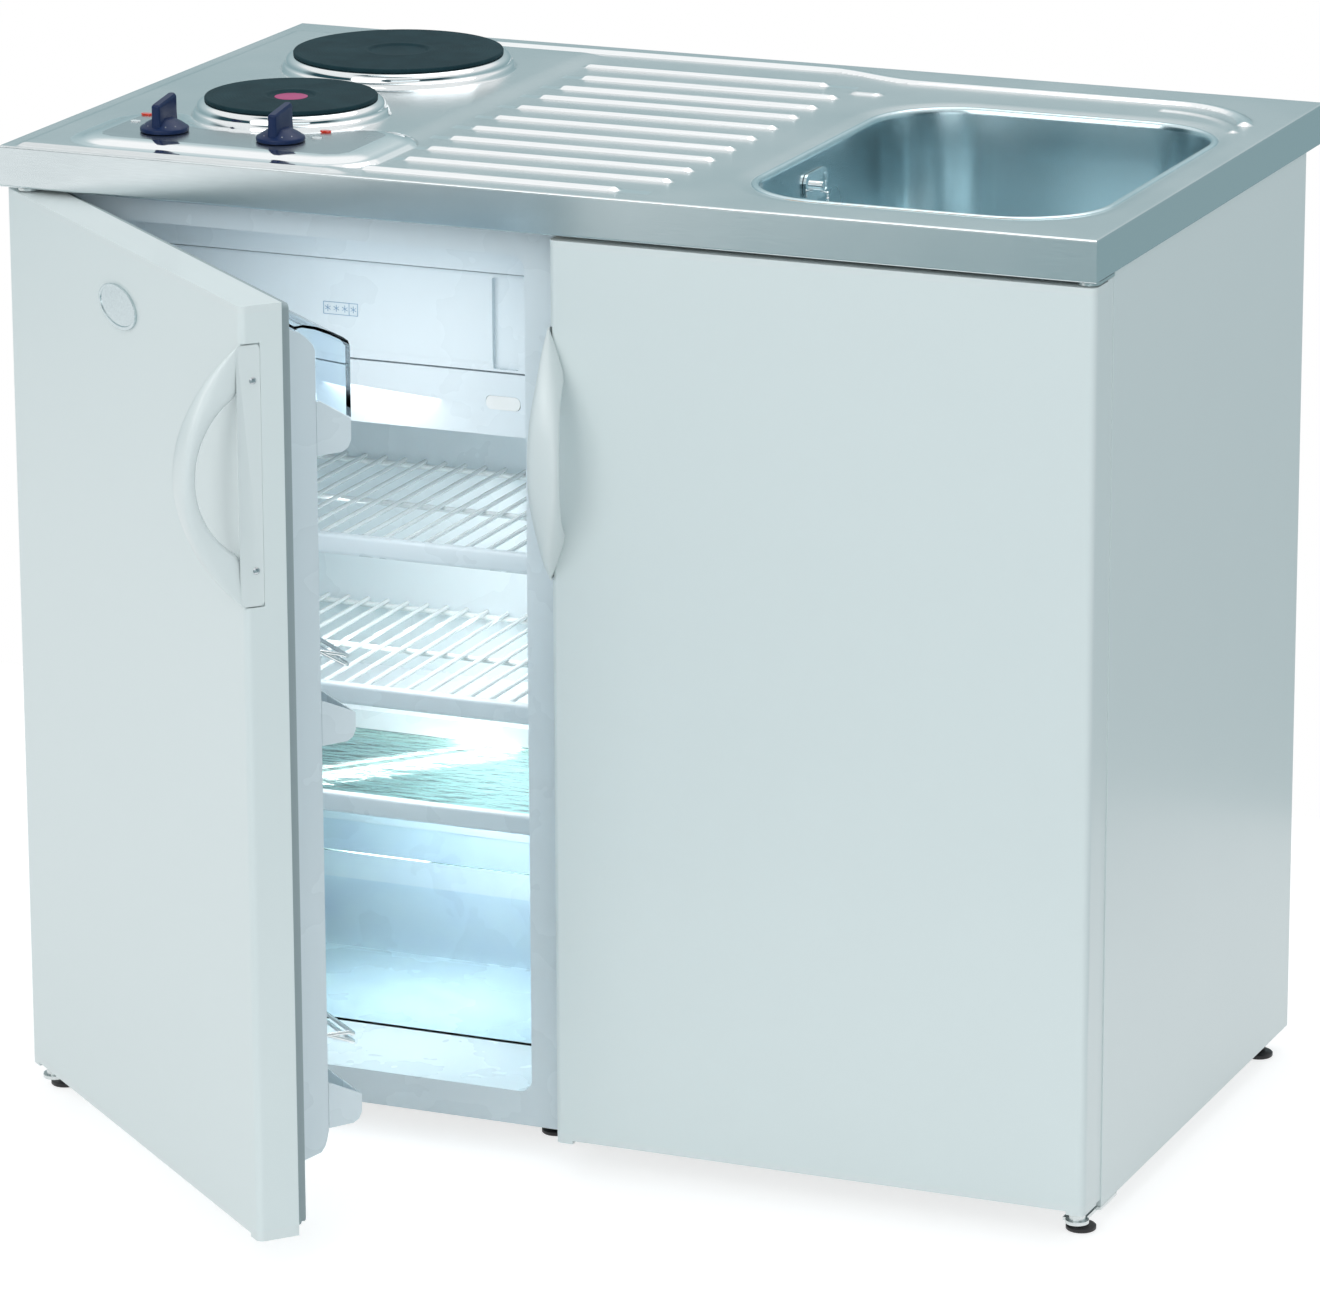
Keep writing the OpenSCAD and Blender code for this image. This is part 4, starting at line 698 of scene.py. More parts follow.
@dataclass
class Worktop:
    """Pressed steel top: folded edges, hob field, control panel, drainer, bowl."""

    step: float = 2.0
    # hob field: where its four bevels rise and fall, from left and from front
    field_x: tuple[Pair, Pair] = ((12, 21), (306, 335))
    field_y: tuple[Pair, Pair] = ((3, 9), (552, 563))
    field_h: float = 3.0
    collar_h: float = 5.5
    collar: Pair = (7.0, 11.0)
    edge_r: float = 1.3
    fold_z: float = TOP_Z - 3.2
    panel_box: Rect = Rect(46.0, 336.0, 10.0, 168.0, 48.0)
    panel_blend: float = 14.0
    panel_profile: Pairs = (
        (-60, PANEL_H), (-34, PANEL_H), (-28, 7.9), (-23, 7.55), (-18, 6.8), (-13, 5.5),
        (-9.5, 4.2), (-8, 3.8), (-6, 3.6), (-3.5, 3.3), (-1.5, 2.0), (0, 0))
    slope_box: Rect = Rect(634.0, 985.0, 40.0, 486.0, 95.0)
    slope_h: float = 2.2
    bowl: Rect = Rect(657.0, 962.0, 60.0, 462.0, 75.0)
    bowl_depth: float = 150.0
    bowl_foot: float = 26.0
    bowl_draft: float = 2.6
    drain_r: float = 39.2
    drain_hole_r: float = 30.2
    ridge_y: tuple[float, ...] = (505, 456, 408, 363, 314, 266, 218, 172, 125, 79, 32)
    ridge_x: Pair = (354.0, 590.0)
    ridge_w: float = 7.0
    ridge_h: float = 3.0

    def panel(self, x: Points, y: Points) -> Points:
        """Height of the control panel's pressing, hollow round the front plate."""
        cy, radius = PLATES["front"]
        box = self.panel_box.distance(x, y)
        hollow = radius + 10.0 - np.hypot(x - PLATE_X, y - cy)
        k = self.panel_blend
        h = np.clip(0.5 + 0.5 * (box - hollow) / k, 0, 1)
        d = hollow + (box - hollow) * h + k * h * (1 - h)
        return np.interp(d, *zip(*self.panel_profile))

    def rear_path(self) -> list[Pair]:
        """Run of the rear bead, stepping forward and round the bowl's corner."""
        back, forward, steps = 572.0, 27.0, range(1, 13)
        out = [(200.0, back), (540.0, back)]
        out += [(540.0 + 100 * i / 12, back - forward * (1 - math.cos(math.pi * i / 12)) / 2)
                for i in steps]
        out.append((880.0, back - forward))
        return out + [polar((880.0, 456.0), 89.0, math.radians(90 - 6.2 * i)) for i in steps]

    def height(self, x: Points, y: Points) -> Points:
        """Height of the pressed sheet over its flat level.

        Args:
            x: X of the points.
            y: Y of the points.

        Returns:
            The heights in millimetres.
        """
        z = np.full(x.shape, self.field_h)
        for along, (rise, fall) in ((x, self.field_x), (y, self.field_y)):
            z *= smooth(along, *rise) * (1 - smooth(along, *fall))
        z = np.maximum(z, self.panel(x, y))
        for cy, radius in PLATES.values():
            d = np.hypot(x - PLATE_X, y - cy) - radius
            collar = self.field_h + self.collar_h * (1 - smooth(d, *self.collar))
            z = np.where(d < self.collar[1], np.maximum(z, collar), z)
        # pressed beads: path, height, half width of the crest and of the foot
        rear = self.rear_path()
        second = [(px, py - 32 * min(1.0, max(0.0, (px - 560) / 90)))
                  for px, py in rear if px > 640]
        beads = [([(604, 484), (620, 484)], 2.2, 3.0, 9.0), (rear, 3.0, 1.5, 8.0),
                 (second, 1.6, 0.8, 6.0)]
        for cy in self.ridge_y:
            left, right = (18, 28) if cy in (self.ridge_y[0], self.ridge_y[-1]) else (0, 0)
            beads.append(([(self.ridge_x[0] - left, cy), (self.ridge_x[1] - right, cy)],
                          self.ridge_h, 1.2, self.ridge_w))
        for path, tall, crest, foot in beads:
            z = np.maximum(z, tall * (1 - smooth(path_distance(x, y, path), crest, foot)))
        slope = self.slope_box.distance(x, y)
        z -= self.slope_h * (1 - smooth(slope, -24.0, 0.0)) * (1 - smooth(x, 960, 990))
        # rolled edges all round
        edge = np.minimum(np.minimum(x, UNIT_W - x), np.minimum(y, TOP_D - y))
        t = np.clip((self.edge_r - edge) / self.edge_r, 0, 1)
        return z - self.edge_r * (1 - np.sqrt(np.maximum(0, 1 - t * t)))

    def lines(self, length: float) -> Points:
        """Grid lines over a length, closer together along the rolled edges."""
        r = self.edge_r
        fine = [r * (1 - math.cos(math.radians(a))) for a in (0, 15, 30, 45, 60, 75)]
        middle = np.linspace(r, length - r, int((length - 2 * r) / self.step))
        return np.concatenate([fine, middle, [length - v for v in reversed(fine)]])

    def build_sheet(self) -> None:
        """Builds the pressed sheet with its folded edges."""
        xs, ys = self.lines(UNIT_W), self.lines(TOP_D)
        gx, gy = np.meshgrid(xs, ys, indexing="ij")
        hole = self.bowl.distance(gx, gy)
        # vertices next to the bowl's opening move onto its outline
        near = np.abs(hole) < self.step * 0.72
        e = 0.05
        nx = (self.bowl.distance(gx + e, gy) - hole) / e
        ny = (self.bowl.distance(gx, gy + e) - hole) / e
        gx = np.where(near, gx - nx * hole, gx)
        gy = np.where(near, gy - ny * hole, gy)
        gone = (hole < -0.01) & ~near
        for cy, radius in PLATES.values():
            gone |= np.hypot(gx - PLATE_X, gy - cy) < radius - 12
        gz = TOP_Z + self.height(gx, gy)
        n, m = gx.shape
        index = np.arange(n * m).reshape(n, m)
        faces = []
        for i in range(n - 1):
            row = gone[i, :-1] | gone[i + 1, :-1] | gone[i, 1:] | gone[i + 1, 1:]
            for j in np.nonzero(~row)[0]:
                faces.append((int(index[i, j]), int(index[i + 1, j]),
                              int(index[i + 1, j + 1]), int(index[i, j + 1])))
        verts = np.stack([gx.ravel(), gy.ravel(), gz.ravel()], axis=1).tolist()
        border = ([(i, 0) for i in range(n)] + [(n - 1, j) for j in range(1, m)]
                  + [(i, m - 1) for i in range(n - 2, -1, -1)]
                  + [(0, j) for j in range(m - 2, 0, -1)])
        rings = [[int(index[i, j]) for i, j in border]]
        for level, inset in ((TOP_Z - self.edge_r - 1.2, 0.0), (LIP_Z + 1.8, 0.0),
                             (LIP_Z + 0.8, 0.0), (LIP_Z, 0.8), (LIP_Z, 12.0)):
            rings.append(list(range(len(verts), len(verts) + len(border))))
            verts += [[min(max(xs[i], inset), UNIT_W - inset),
                       min(max(ys[j], inset), TOP_D - inset), level] for i, j in border]
        faces += bridge(rings)
        used = sorted({i for f in faces for i in f})
        renumber = {old: new for new, old in enumerate(used)}
        verts = [verts[i] for i in used]
        faces = [tuple(renumber[i] for i in f) for f in faces]
        piece = add_piece("pressed_top", (verts, faces), "steel_top", sharp=60.0,
                          replaces=("worktop",))
        self.paint_highlight_and_shade(piece, np.array(verts), faces)

    def paint_highlight_and_shade(self, piece: bpy.types.Object, verts: Points, faces: list) -> None:
        """Gives drawn forms a painted highlight, the panel top painted shade, the folds a finish.

        Args:
            piece: The pressed sheet.
            verts: Its vertices in millimetres.
            faces: Its faces.
        """
        for finish in ("pressed_painted_highlight", "panel_painted_shade", "fold_steel"):
            piece.data.materials.append(PALETTE.get(finish))
        corners = np.array([(f[0], f[2]) for f in faces])
        x, y, z = ((verts[corners[:, 0]] + verts[corners[:, 1]]) / 2).T
        panel = self.panel(x, y)
        flat_from = PANEL_H - 0.15
        # painted highlight: the lighter copy of the steel on panel slopes, collars, beads and the
        # bowl's rim
        painted_highlight_mask = (panel > 0.25) & (panel < flat_from)
        for cy, radius in PLATES.values():
            painted_highlight_mask |= np.abs(np.hypot(x - PLATE_X, y - cy) - radius - 6.5) < 5.0
        for cy in self.ridge_y:
            painted_highlight_mask |= ((np.abs(y - cy) < 5.6) & (x > self.ridge_x[0] - 24)
                       & (x < self.ridge_x[1] + 6))
        painted_highlight_mask |= path_distance(x, y, self.rear_path()) < 6.5
        painted_highlight_mask |= self.bowl.distance(x, y) < 7.0
        painted_highlight_mask &= z > self.fold_z
        # painted shade: the darker copy of the steel on the panel's flat top
        flat = (panel >= flat_from) & (z > TOP_Z + 7)
        index = np.select([z < self.fold_z, flat, painted_highlight_mask], [3, 2, 1], 0).astype(np.int32)
        piece.data.polygons.foreach_set("material_index", index)

    def build_bowl(self) -> None:
        """Builds the drawn bowl with its rolled rim, walls, foot and floor."""
        floor = TOP_Z - self.bowl_depth
        # outward offset from the opening, and level
        rows = [(7.0, TOP_Z - 1.9), (5.6, TOP_Z - 0.7), (3.6, TOP_Z + 0.1), (1.4, TOP_Z - 0.3),
                (0.0, TOP_Z - 2.2), (-0.7, TOP_Z - 6.0), (-1.6, TOP_Z - 40.0),
                (-self.bowl_draft, TOP_Z - 100.0)]
        for i in range(1, 9):
            a = math.radians(90.0 * i / 8)
            rows.append((-self.bowl_draft - self.bowl_foot * (1 - math.cos(a)),
                         floor + 2.0 + self.bowl_foot * (1 - math.sin(a))))
        sections = [[(x, y, z) for x, y in self.bowl.grown(grow).outline()]
                    for grow, z in rows]
        # the floor falls from the walls' foot to the round drain
        center = self.bowl.center
        last = sections[-1]
        aims = [math.atan2(y - center[1], x - center[0]) for x, y, _ in last]
        rim = [polar(center, self.drain_r, a) for a in aims]
        for f, z in ((0.3, 1.6), (0.6, 1.0), (0.85, 0.2), (1.0, 0.0)):
            sections.append([(x + (rx - x) * f, y + (ry - y) * f, floor + z)
                             for (x, y, _), (rx, ry) in zip(last, rim)])
        sections.append([(*polar(center, self.drain_hole_r, a), floor - 1.0) for a in aims])
        piece = add_piece("drawn_bowl", loft(sections, caps=False), "bowl_steel_painted_shade", sharp=None,
                          replaces=("sink_bowl",))
        shell = piece.modifiers.new("sheet", "SOLIDIFY")
        shell.thickness = 0.0008
        shell.offset = -1.0

    def dress(self) -> None:
        """Builds the sheet and the bowl."""
        self.build_sheet()
        self.build_bowl()


@dataclass
class Hob:
    """Cast iron plates in polished rings, and the two control knobs."""

    plate_h: float = 20.0
    plate_drop: float = 3.6
    recess: float = 0.29
    groove_pitch: float = 3.2
    ring_base: float = 8.5
    knobs: tuple[tuple[str, float, float], ...] = (("left", 123.0, 73.5),
                                                   ("right", 234.0, 73.5))
    knob_r: float = 21.2
    knob_h: float = 31.0
    grip_w: float = 4.6
    grip_z: float = 6.0

    def build_plate(self, side: str, cy: float, r: float) -> None:
        """Turns one plate with its fine grooves and recessed middle.

        Args:
            side: Front or rear; the front plate carries a coloured spot.
            cy: Distance of its middle from the front edge.
            r: Radius.
        """
        h = self.plate_h
        q = r * self.recess
        profile = [(r - 9, -9), (r - 9, h - self.plate_drop), (r - 0.6, h - self.plate_drop),
                   (r, h - 3.1), (r, h - 1.2), (r - 0.5, h - 0.4), (r - 1.4, h)]
        grooves = int((r - q) / self.groove_pitch)
        for i in range(grooves):
            u = r - 3 - (r - 6 - q) * i / grooves
            profile += [(u, h), (u - 0.5, h - 0.16), (u - 1.0, h)]
        profile += [(q + 1.5, h), (q, h - 0.3), (q - 1.6, h - 1.7), (q - 2.5, h - 1.9),
                    (0, h - 1.9)]
        center = (PLATE_X, cy, TOP_Z)
        add_piece(f"plate_{side}_casting", lathe(profile, 144, center), "plate_iron",
                  sharp=50.0, replaces=(f"plate_{side}",))
        if side == "front":
            spot = [(14.6, h - 2.2), (14.6, h - 1.72), (14.0, h - 1.6), (0, h - 1.6)]
            add_piece("plate_spot", lathe(spot, 48, center), "plate_dot")

    def build_ring(self, side: str, cy: float, r: float) -> None:
        """Turns the polished ring under a plate, with its flare and skirt.

        Args:
            side: Front or rear.
            cy: Distance of its middle from the front edge.
            r: Radius of its plate.
        """
        top, base = self.plate_h - self.plate_drop, self.ring_base
        flare = [(r - 0.6 + 7.8 * math.sin(math.radians(a)),
                  base + 0.4 + (top - base - 0.4) * math.cos(math.radians(a)) ** 0.8)
                 for a in range(0, 90, 9)]
        skirt = [(r + 7.4, base + 0.4), (r + 8.6, base - 0.1), (r + 9.6, base - 1.4),
                 (r + 10.6, base - 3.4), (r + 11.3, base - 5.0), (r + 11.8, base - 5.5)]
        profile = [(r - 8.6, base), (r - 8.6, top), *flare, *skirt,
                   (r + 10.8, base - 5.6), (r + 6.6, base - 0.2), (r - 8.6, base)]
        add_piece(f"ring_{side}_band", lathe(profile, 144, (PLATE_X, cy, TOP_Z)),
                  "polished_steel", sharp=60.0, replaces=(f"ring_{side}",))

    def build_knob(self, side: str, cx: float, cy: float) -> None:
        """Builds one knob: turned skirt, tall bar and white ticks.

        Args:
            side: Left or right.
            cx: Distance from the left end.
            cy: Distance from the front edge.
        """
        z0 = TOP_Z + PANEL_H
        r = self.knob_r
        skirt = [(3.2, 0.5), (r - 0.8, 0.5), (r - 0.2, 0.9), (r, 1.6), (r, 3.4), (r - 0.5, 4.3),
                 (r - 2.0, 5.2), (r * 0.72, 8.0), (r * 0.5, 10.4), (r * 0.4, 11.6), (0, 12.2)]
        half, wide = r * 0.86, self.grip_w
        sections = []
        for i in range(15):
            f = i / 14
            z = z0 + self.grip_z + (self.knob_h - self.grip_z) * f
            cut = 0.6 + 1.2 * max(0.0, (f - 0.86) / 0.14) ** 2
            spread = 1 + 0.5 * max(0.0, 0.35 - f)
            slope = 5.5 * max(0.0, (f - 0.55) / 0.45) / (2 * half)
            outline = Rect(-wide + cut, wide - cut, -half + cut, half - cut, 2.4).outline(5, 4)
            sections.append([(cx + px * spread, cy + py, z - slope * (half - py))
                             for px, py in outline])
        add_piece(f"knob_{side}_grip", merge(lathe(skirt, 96, (cx, cy, z0)), loft(sections)),
                  "knob_plastic", f"knob_{side}", replaces=(f"knob_{side}",))
        ticks = [ball((*polar((cx, cy), r - 4.4, math.radians(a)), z0 + 6.2), 0.75, 4, 8)
                 for a in (-150, -120, -90, -60, -30, 90)]
        add_piece(f"knob_{side}_ticks", merge(*ticks), "mark_white", f"knob_{side}")

    def dress(self) -> None:
        """Builds plates, rings and knobs."""
        for build in (self.build_plate, self.build_ring):
            for side, (cy, radius) in PLATES.items():
                build(side, cy, radius)
        for knob in self.knobs:
            self.build_knob(*knob)


@dataclass
class SinkFittings:
    """Ball chain of the bowl's plug."""

    chain: tuple[Point, ...] = (
        (666.0, 241.0, 830.7), (671.0, 241.0, 829.0), (673.0, 241.0, 790.0),
        (674.0, 241.0, 746.0), (684.0, 242.5, 727.0), (703.0, 245.0, 717.9),
        (740.0, 251.0, 717.8), (779.5, 257.0, 717.8))
    wire_r: float = 0.6
    ball_r: float = 1.7
    pitch: float = 4.6

    def dress(self) -> None:
        """Strings the balls on their wire."""
        parts = [tube(list(self.chain), self.wire_r, 6)]
        for a, b in zip(self.chain, self.chain[1:]):
            start, end = Vector(a), Vector(b)
            count = max(1, int((end - start).length / self.pitch))
            for i in range(count):
                parts.append(ball(tuple(start.lerp(end, i / count)), self.ball_r, 6, 8))
        add_piece("bead_chain", merge(*parts), "polished_steel", sharp=None,
                  replaces=("ball_chain",))


def arc_height(chord: float, rise: float, at: float) -> float:
    """Height of a circular arc over its chord.

    Args:
        chord: Half the chord's length.
        rise: Height in the middle.
        at: Distance from the middle.

    Returns:
        The height.
    """
    radius = (chord * chord + rise * rise) / (2 * rise)
    return math.sqrt(radius * radius - at ** 2) - (radius - rise)


@dataclass
class Handle:
    """Bowed door handle with a long finger opening and an edge wing."""

    node: str
    body: str
    to_row: Matrix
    top: float
    length: float = 220.0
    out: float = 52.0
    width: float = 28.0
    wing: float = 17.0
    opening: float = 0.31
    wall: float = 13.0
    screw_y: float = 10.5

    def section(self, z: float) -> list[Point]:
        """Rounded section of the bow at a height.

        Args:
            z: Height over the floor.

        Returns:
            The section's points.
        """
        half = self.length / 2
        v = abs(z - (self.top - half))
        at = min(0.9995, v / half) * half
        reach = self.length * self.opening
        inner = arc_height(reach, self.out - self.wall, v) if v < reach else 0.0
        depth = max(arc_height(half, self.out, at), 1.0)
        wide = max(arc_height(half, self.width, at), 1.2)
        y0, y1 = -depth, -max(inner, 0.3)
        ring = []
        for k in range(28):
            t = 2 * math.pi * k / 28
            c, s = math.cos(t), math.sin(t)
            ring.append((wide / 2 + wide / 2 * math.copysign(abs(c) ** 0.62, c),
                         (y0 + y1) / 2 + (y1 - y0) / 2 * math.copysign(abs(s) ** 0.72, s), z))
        return ring

    def dress(self) -> None:
        """Builds the bow, the wing and its screws."""
        half = self.length / 2
        mid = self.top - half
        levels = [mid - half * math.cos(math.pi * i / 44) for i in range(45)]
        levels[0] += 0.4
        levels[-1] -= 0.4
        bow = loft([self.section(z) for z in levels])
        outline = Rect(-3.8, self.wing, self.top - self.length + 1, self.top - 1,
                       4.0).outline(6, 3)
        sheet = loft([[(x, y, z) for y, z in outline] for x in (0.2, 0.0, -0.15)]
                     + [[(0.15, min(max(y, -3.3), self.wing - 0.6), z) for y, z in outline]])
        add_piece(self.node + "_bow", merge(bow, sheet), "cap_white", self.body, self.to_row,
                  40.0, (self.node,))
        head, faces = lathe([(0, 0.9), (1.4, 0.85), (2.5, 0.5), (3.0, 0), (0, 0)], 20)
        screws = [([(-0.15 - z, self.screw_y + y, mid + side * self.length * 0.36 + x)
                    for x, y, z in head], faces) for side in (-1, 1)]
        add_piece(self.node + "_screws", merge(*screws), "screw_steel", self.body, self.to_row)


@dataclass
class FridgeDoor:
    """Refrigerator door: its chrome bottle rails and its handle."""

    rails: Pairs = ((497.0, 511.6), (167.0, 177.2))
    gap: float = 7.0
    x0: float = 55.0
    x1: float = 455.0
    front: float = 116.0
    ridge: float = 88.0
    handle_x: float = 512.0

    def build_rails(self) -> None:
        """Bends two wires per rail with rounded ends into the ridges."""
        x0, front = self.x0, self.front
        parts = []
        for rail, peg in self.rails:
            for z in (rail, rail + self.gap):
                path = [(x0 + 1.0, self.ridge - 6.0, peg), (x0 + 1.0, self.ridge + 3.0, peg),
                        (x0 + 1.0, front - 6.0, z + 2.6), (x0 + 1.3, front - 3.2, z + 1.0),
                        (x0 + 2.4, front - 1.0, z + 0.2), (x0 + 4.6, front, z)]
                mirror = [(x0 + self.x1 - x, y, h) for x, y, h in reversed(path)]
                parts.append(tube(path + mirror, 1.8, 14))
        add_piece("chrome_rails", merge(*parts), "polished_steel", "fridge_door",
                  TO_FRIDGE_DOOR, None, ("bottle_rails",))

    def dress(self) -> None:
        """Builds the rails and the handle."""
        self.build_rails()
        to_row = (TO_FRIDGE_DOOR @ Matrix.Translation((self.handle_x, 0, 0))
                  @ Matrix.Scale(-1, 4, (1, 0, 0)))
        Handle("handle_left", "fridge_door", to_row, DOOR_TOP - 31.0).dress()


@dataclass
class FridgeInterior:
    """Wire shelves and the frost mark on the freezer flap."""

    x0: float = 40.0
    x1: float = 472.0
    shelf_y: float = 122.0
    room_y: float = 400.0
    levels: tuple[tuple[str, float], ...] = (("wire_shelf_upper", 513.0),
                                             ("wire_shelf_lower", 377.0))
    pitch: float = 20.0
    mark: tuple[float, float, float, float] = (248.6, 281.2, 712.4, 723.2)
    cells: int = 4
    star_r: float = 3.0
    line: float = 0.5

    def build_shelf(self, node: str, z: float) -> None:
        """Lays round wires over three cross rods.

        Args:
            node: Node that the shelf stands for.
            z: Height of the shelf's top.
        """
        x0, x1, y0, y1 = self.x0, self.x1, self.shelf_y, self.room_y
        count = int((x1 - x0 - 24) / self.pitch)
        first = (x0 + x1) / 2 - count * self.pitch / 2
        wires = [first + i * self.pitch for i in range(count + 1)]
        parts = [tube([(x, y0 + 8, z - 2), (x, y1 - 3, z - 2)], 2.0, 10) for x in wires]
        parts += [tube([(x0, y, z - 6.4), (x1, y, z - 6.4)], 2.6, 10)
                  for y in (y0 + 18, (y0 + y1 + 5) / 2, y1 - 7)]
        add_piece(node + "_wires", merge(*parts), "shelf_wire", replaces=(node,))

    def build_mark(self) -> None:
        """Prints the usual frost stars in their frame on the freezer flap."""
        x0, x1, z0, z1 = self.mark
        wide = (x1 - x0) / self.cells
        mid = (z0 + z1) / 2
        strokes = [((x0, z0), (x1, z0)), ((x0, z1), (x1, z1))]
        strokes += [((x, z0), (x, z1)) for x in (x0, x1, x1 - wide)]
        for i in range(self.cells):
            cx = x0 + wide * (i + 0.5)
            for angle in (30, 90, 150):
                dx = self.star_r * math.cos(math.radians(angle))
                dz = self.star_r * math.sin(math.radians(angle))
                strokes.append(((cx - dx, mid - dz), (cx + dx, mid + dz)))
        parts = [tube([(x, self.shelf_y - 0.05, z) for x, z in stroke], self.line / 1.6, 4)
                 for stroke in strokes]
        add_piece("frost_mark", merge(*parts), "frost_ink", "freezer_flap", sharp=30.0)

    def dress(self) -> None:
        """Builds both shelves and the flap's mark."""
        for node, z in self.levels:
            self.build_shelf(node, z)
        self.build_mark()


class KeptNodes:
    """Carried-over solids, each given its finish and softened edges."""

    # width of the edge rolls in millimetres, and the solids that have them
    ROLLS = {
        3.0: "door_liner_left", 2.5: "fridge_liner",
        1.5: "freezer_fascia freezer_flap door_caps_left door_caps_right",
        1.2: "fridge_case drip_tray door_pan_left door_gasket_left door_pan_right",
        1.0: "lamp_housing door_bins door_inner_right door_gasket_right",
        0.8: "top_frame shelf_trims glass_shelf crisper",
        0.6: "regulators freezer_box dairy_lid hinge_upper",
        0.5: "oval_plate magnet_catch",
        0.4: "lamp_lenses hinge_lower cupboard_shell overflow_plate",
        0.3: "mark_lenses compressor_plate"}
    TURNED = ("waste_fitting plug bottle_trap lamp_lens thermostat_knob compressor "
              "condenser cable_gland spindles foot_front_left foot_front_mid "
              "foot_front_right foot_rear_left foot_rear_mid foot_rear_right")

    def soften(self, node: bpy.types.Object, width: float | None) -> None:
        """Rolls the edges of flat sheet and mouldings, or smooths a turned piece.

        Args:
            node: The solid.
            width: Width of an edge roll in millimetres, or None for a turned piece.
        """
        if "custom_normal" in node.data.attributes:
            node.data.attributes.remove(node.data.attributes["custom_normal"])
        node.data.shade_smooth()
        weld = node.modifiers.new("weld", "WELD")
        weld.merge_threshold = 0.00001
        if width is None:
            split = node.modifiers.new("hard edges", "EDGE_SPLIT")
            split.split_angle = math.radians(48)
            return
        bevel = node.modifiers.new("edge roll", "BEVEL")
        bevel.width = width * 0.001
        bevel.segments = 3
        bevel.limit_method = "ANGLE"
        bevel.angle_limit = math.radians(38)
        bevel.miter_outer = "MITER_ARC"
        node.modifiers.new("flat faces", "WEIGHTED_NORMAL").keep_sharp = False

    def dress(self) -> None:
        """Gives every carried-over solid its finish."""
        slots = {s["node"]: s["material_slot"] for s in frame["record"]["subparts"]}
        for width, names in (*self.ROLLS.items(), (None, self.TURNED)):
            for name in names.split():
                node = frame["nodes"][name]
                node.data.materials.clear()
                node.data.materials.append(PALETTE.get(slots[name]))
                self.soften(node, width)


@dataclass(frozen=True)
class Lamp:
    """Square soft lamp; place and aim in metres, power in watts."""

    name: str
    place: Point
    aim: Point
    size: float
    power: float
    color: Rgb

    def hang(self) -> None:
        """Adds the lamp to the scene."""
        data = bpy.data.lights.new(self.name, "AREA")
        data.shape = "SQUARE"
        data.size = self.size
        data.energy = self.power
        data.color = self.color
        lamp = bpy.data.objects.new(self.name, data)
        place = Vector(self.place)
        lamp.location = place
        lamp.rotation_euler = (Vector(self.aim) - place).to_track_quat("-Z", "Y").to_euler()
        lamp.visible_camera = False
        bpy.context.scene.collection.objects.link(lamp)


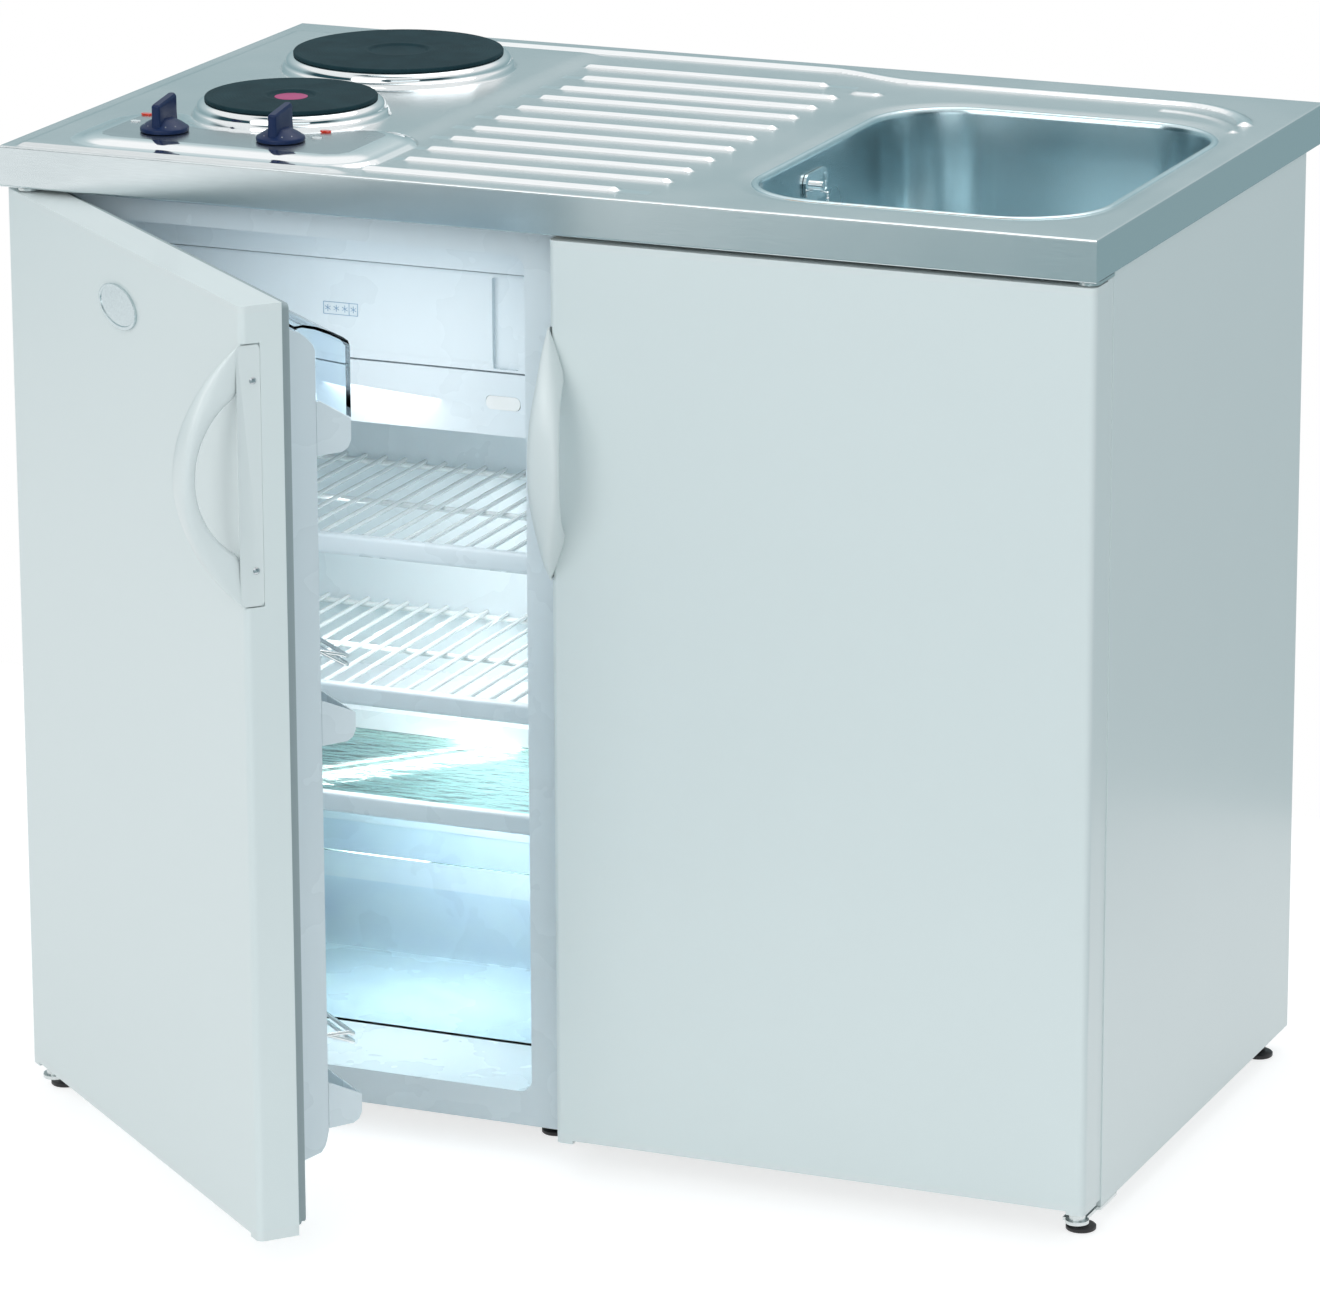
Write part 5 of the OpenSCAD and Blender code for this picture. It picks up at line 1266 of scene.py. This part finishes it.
@dataclass
class Studio:
    """Camera, floor, surroundings and lamps."""

    place: Point = (2.3227, -5.3236, 2.0986)
    yaw: float = -22.999
    pitch: float = 15.963
    roll: float = -0.2275
    lens: float = 190.4
    aim: Point = (0.0, 0.0, 0.45)
    # grey levels from straight down (0) over the horizon (0.5) to straight up
    front_levels: Pairs = (
        (0.0, 0.4), (0.47, 0.44), (0.52, 0.07), (0.70, 0.07), (0.76, 0.95), (0.95, 1.0),
        (0.975, 0.1), (1.0, 0.1))
    back_levels: Pairs = (
        (0.0, 0.4), (0.5, 0.42), (0.60, 0.52), (0.70, 0.66), (0.78, 1.0), (0.95, 1.0),
        (0.975, 0.1), (1.0, 0.1))

    def lamps(self) -> list[Lamp]:
        """Lamps round the unit, and the refrigerator's own light on its levels."""
        inner = [Lamp(f"inner_{int(level * 1000)}", (-0.2, 0.1, level), (-0.245, 0.14, 0.0),
                      0.22, power, (1.0, 0.99, 0.98))
                 for level, power in ((0.655, 0.5), (0.495, 0.4), (0.36, 0.3), (0.245, 0.8))]
        return [Lamp("key", (-0.95, -4.0, 2.9), self.aim, 2.6, 54.0, (1.0, 1.0, 0.99)),
                Lamp("fill", (2.2, -3.8, 1.4), self.aim, 2.4, 22.0, (0.93, 0.98, 1.0)),
                Lamp("top", (0.3, 0.8, 3.2), self.aim, 2.2, 26.0, (0.97, 0.99, 1.0)), *inner,
                Lamp("opening", (-0.2, -0.15, 0.62), (-0.22, 0.1, 0.6), 0.26, 0.2,
                     (1.0, 0.99, 1.0))]

    def build_camera(self) -> None:
        """Places the camera at the photograph's view."""
        data = bpy.data.cameras.new("view")
        data.lens = self.lens
        data.sensor_width = 36.0
        data.clip_end = 60.0
        camera = bpy.data.objects.new("view", data)
        yaw, pitch = math.radians(self.yaw), math.radians(self.pitch)
        forward = Vector((math.sin(yaw) * math.cos(pitch), math.cos(yaw) * math.cos(pitch),
                          -math.sin(pitch)))
        right = Vector((math.cos(yaw), -math.sin(yaw), 0.0))
        up = right.cross(forward)
        turn = Matrix((right, up, -forward)).transposed().to_4x4()
        camera.matrix_world = (Matrix.Translation(self.place) @ turn
                               @ Matrix.Rotation(math.radians(self.roll), 4, "Z"))
        bpy.context.scene.collection.objects.link(camera)
        bpy.context.scene.camera = camera

    def build_floor(self) -> None:
        """Lays a floor that takes the unit's shadow and looks white.

        It reaches far out on the left only: the steel's folds would mirror it
        in front of the unit and on its right.
        """
        mesh = bpy.data.meshes.new("floor")
        far, left, right, near, back, z = -14.0, -1.5, 0.9, -0.95, 1.1, -0.0005
        mesh.from_pydata([(far, far, z), (left, far, z), (left, near, z), (right, near, z),
                          (right, back, z), (left, back, z), (far, back, z), (far, near, z)],
                         [], [(0, 1, 2, 7), (2, 3, 4, 5), (7, 2, 5, 6)])
        floor = bpy.data.objects.new("floor", mesh)
        bpy.context.scene.collection.objects.link(floor)
        material = bpy.data.materials.new("pale_floor")
        material.use_nodes = True
        tree = material.node_tree
        tree.nodes.clear()
        rays = add_node(tree, "LightPath").outputs
        seen = math_node(tree, "MAXIMUM", rays["Is Camera Ray"],
                         math_node(tree, "MAXIMUM", rays["Is Glossy Ray"],
                                   rays["Is Transmission Ray"]))
        diffuse = add_node(tree, "BsdfDiffuse", (0.8, 0.81, 0.81, 1.0))
        shaded = add_node(tree, "BsdfDiffuse", (0.45, 0.45, 0.45, 1.0))
        glow = add_node(tree, "Emission", (1.0, 1.0, 1.0, 1.0), 0.72)
        both = add_node(tree, "AddShader", glow.outputs[0], shaded.outputs[0])
        mix = add_node(tree, "MixShader", seen, diffuse.outputs[0], both.outputs[0])
        add_node(tree, "OutputMaterial", mix.outputs[0])
        mesh.materials.append(material)

    def add_ramp(self, tree: Tree, spot: Socket, levels: Pairs) -> Socket:
        """Adds a ramp of slightly cool greys.

        Args:
            tree: Tree to add to.
            spot: Place on the ramp.
            levels: Position and level of each mark.

        Returns:
            The ramp's colour.
        """
        ramp = add_node(tree, "ValToRGB", spot)
        elements = ramp.color_ramp.elements
        elements.remove(elements[0])
        for i, (position, level) in enumerate(levels):
            element = elements[0] if i == 0 else elements.new(position)
            element.position = position
            element.color = (level ** 1.4, level, level ** 0.92, 1.0)
        return ramp.outputs[0]

    def build_world(self) -> None:
        """White for the view, pale light, and bands of light and dark for metal."""
        world = bpy.data.worlds.new("studio")
        bpy.context.scene.world = world
        world.use_nodes = True
        tree = world.node_tree
        tree.nodes.clear()
        coords = add_node(tree, "TexCoord")
        parts = add_node(tree, "SeparateXYZ", coords.outputs["Generated"]).outputs
        # in front it is dark from the horizon to some 24 degrees up, and it
        # is dark right overhead
        ahead = math_node(tree, "MULTIPLY", parts["Y"], -3.0, clamp=True)
        up = math_node(tree, "MULTIPLY_ADD", parts["Z"], 0.5, 0.5)
        blend = tree.nodes.new("ShaderNodeMix")
        blend.data_type = "RGBA"
        tree.links.new(ahead, blend.inputs[0])
        tree.links.new(self.add_ramp(tree, up, self.back_levels), blend.inputs[6])
        tree.links.new(self.add_ramp(tree, up, self.front_levels), blend.inputs[7])
        light = add_node(tree, "Background", (0.90, 0.97, 1.0, 1.0), 0.62)
        mirror = add_node(tree, "Background", blend.outputs[2], 1.0)
        white = add_node(tree, "Background", (1.0, 1.0, 1.0, 1.0), 1.0)
        rays = add_node(tree, "LightPath").outputs
        seen = math_node(tree, "MAXIMUM", rays["Is Camera Ray"], rays["Is Transmission Ray"])
        first = add_node(tree, "MixShader", rays["Is Glossy Ray"], light.outputs[0],
                         mirror.outputs[0])
        second = add_node(tree, "MixShader", seen, first.outputs[0], white.outputs[0])
        add_node(tree, "OutputWorld", second.outputs[0])

    def dress(self) -> None:
        """Sets the view transform and builds everything round the unit."""
        bpy.context.scene.view_settings.view_transform = "Standard"
        self.build_camera()
        self.build_floor()
        self.build_world()
        for lamp in self.lamps():
            lamp.hang()


def main() -> None:
    """Builds the unit's pieces in order and reports each."""
    logging.basicConfig(level=logging.INFO, format="%(name)s: %(message)s")
    for part in (Studio(), KeptNodes(), Worktop(), Hob(), SinkFittings(),
                 FridgeInterior(), FridgeDoor(),
                 Handle("handle_right", "cupboard_door", TO_CUPBOARD_DOOR, DOOR_TOP - 74.0)):
        part.dress()
        log.info("%s is dressed", type(part).__name__)


if __name__ == "__main__":
    main()
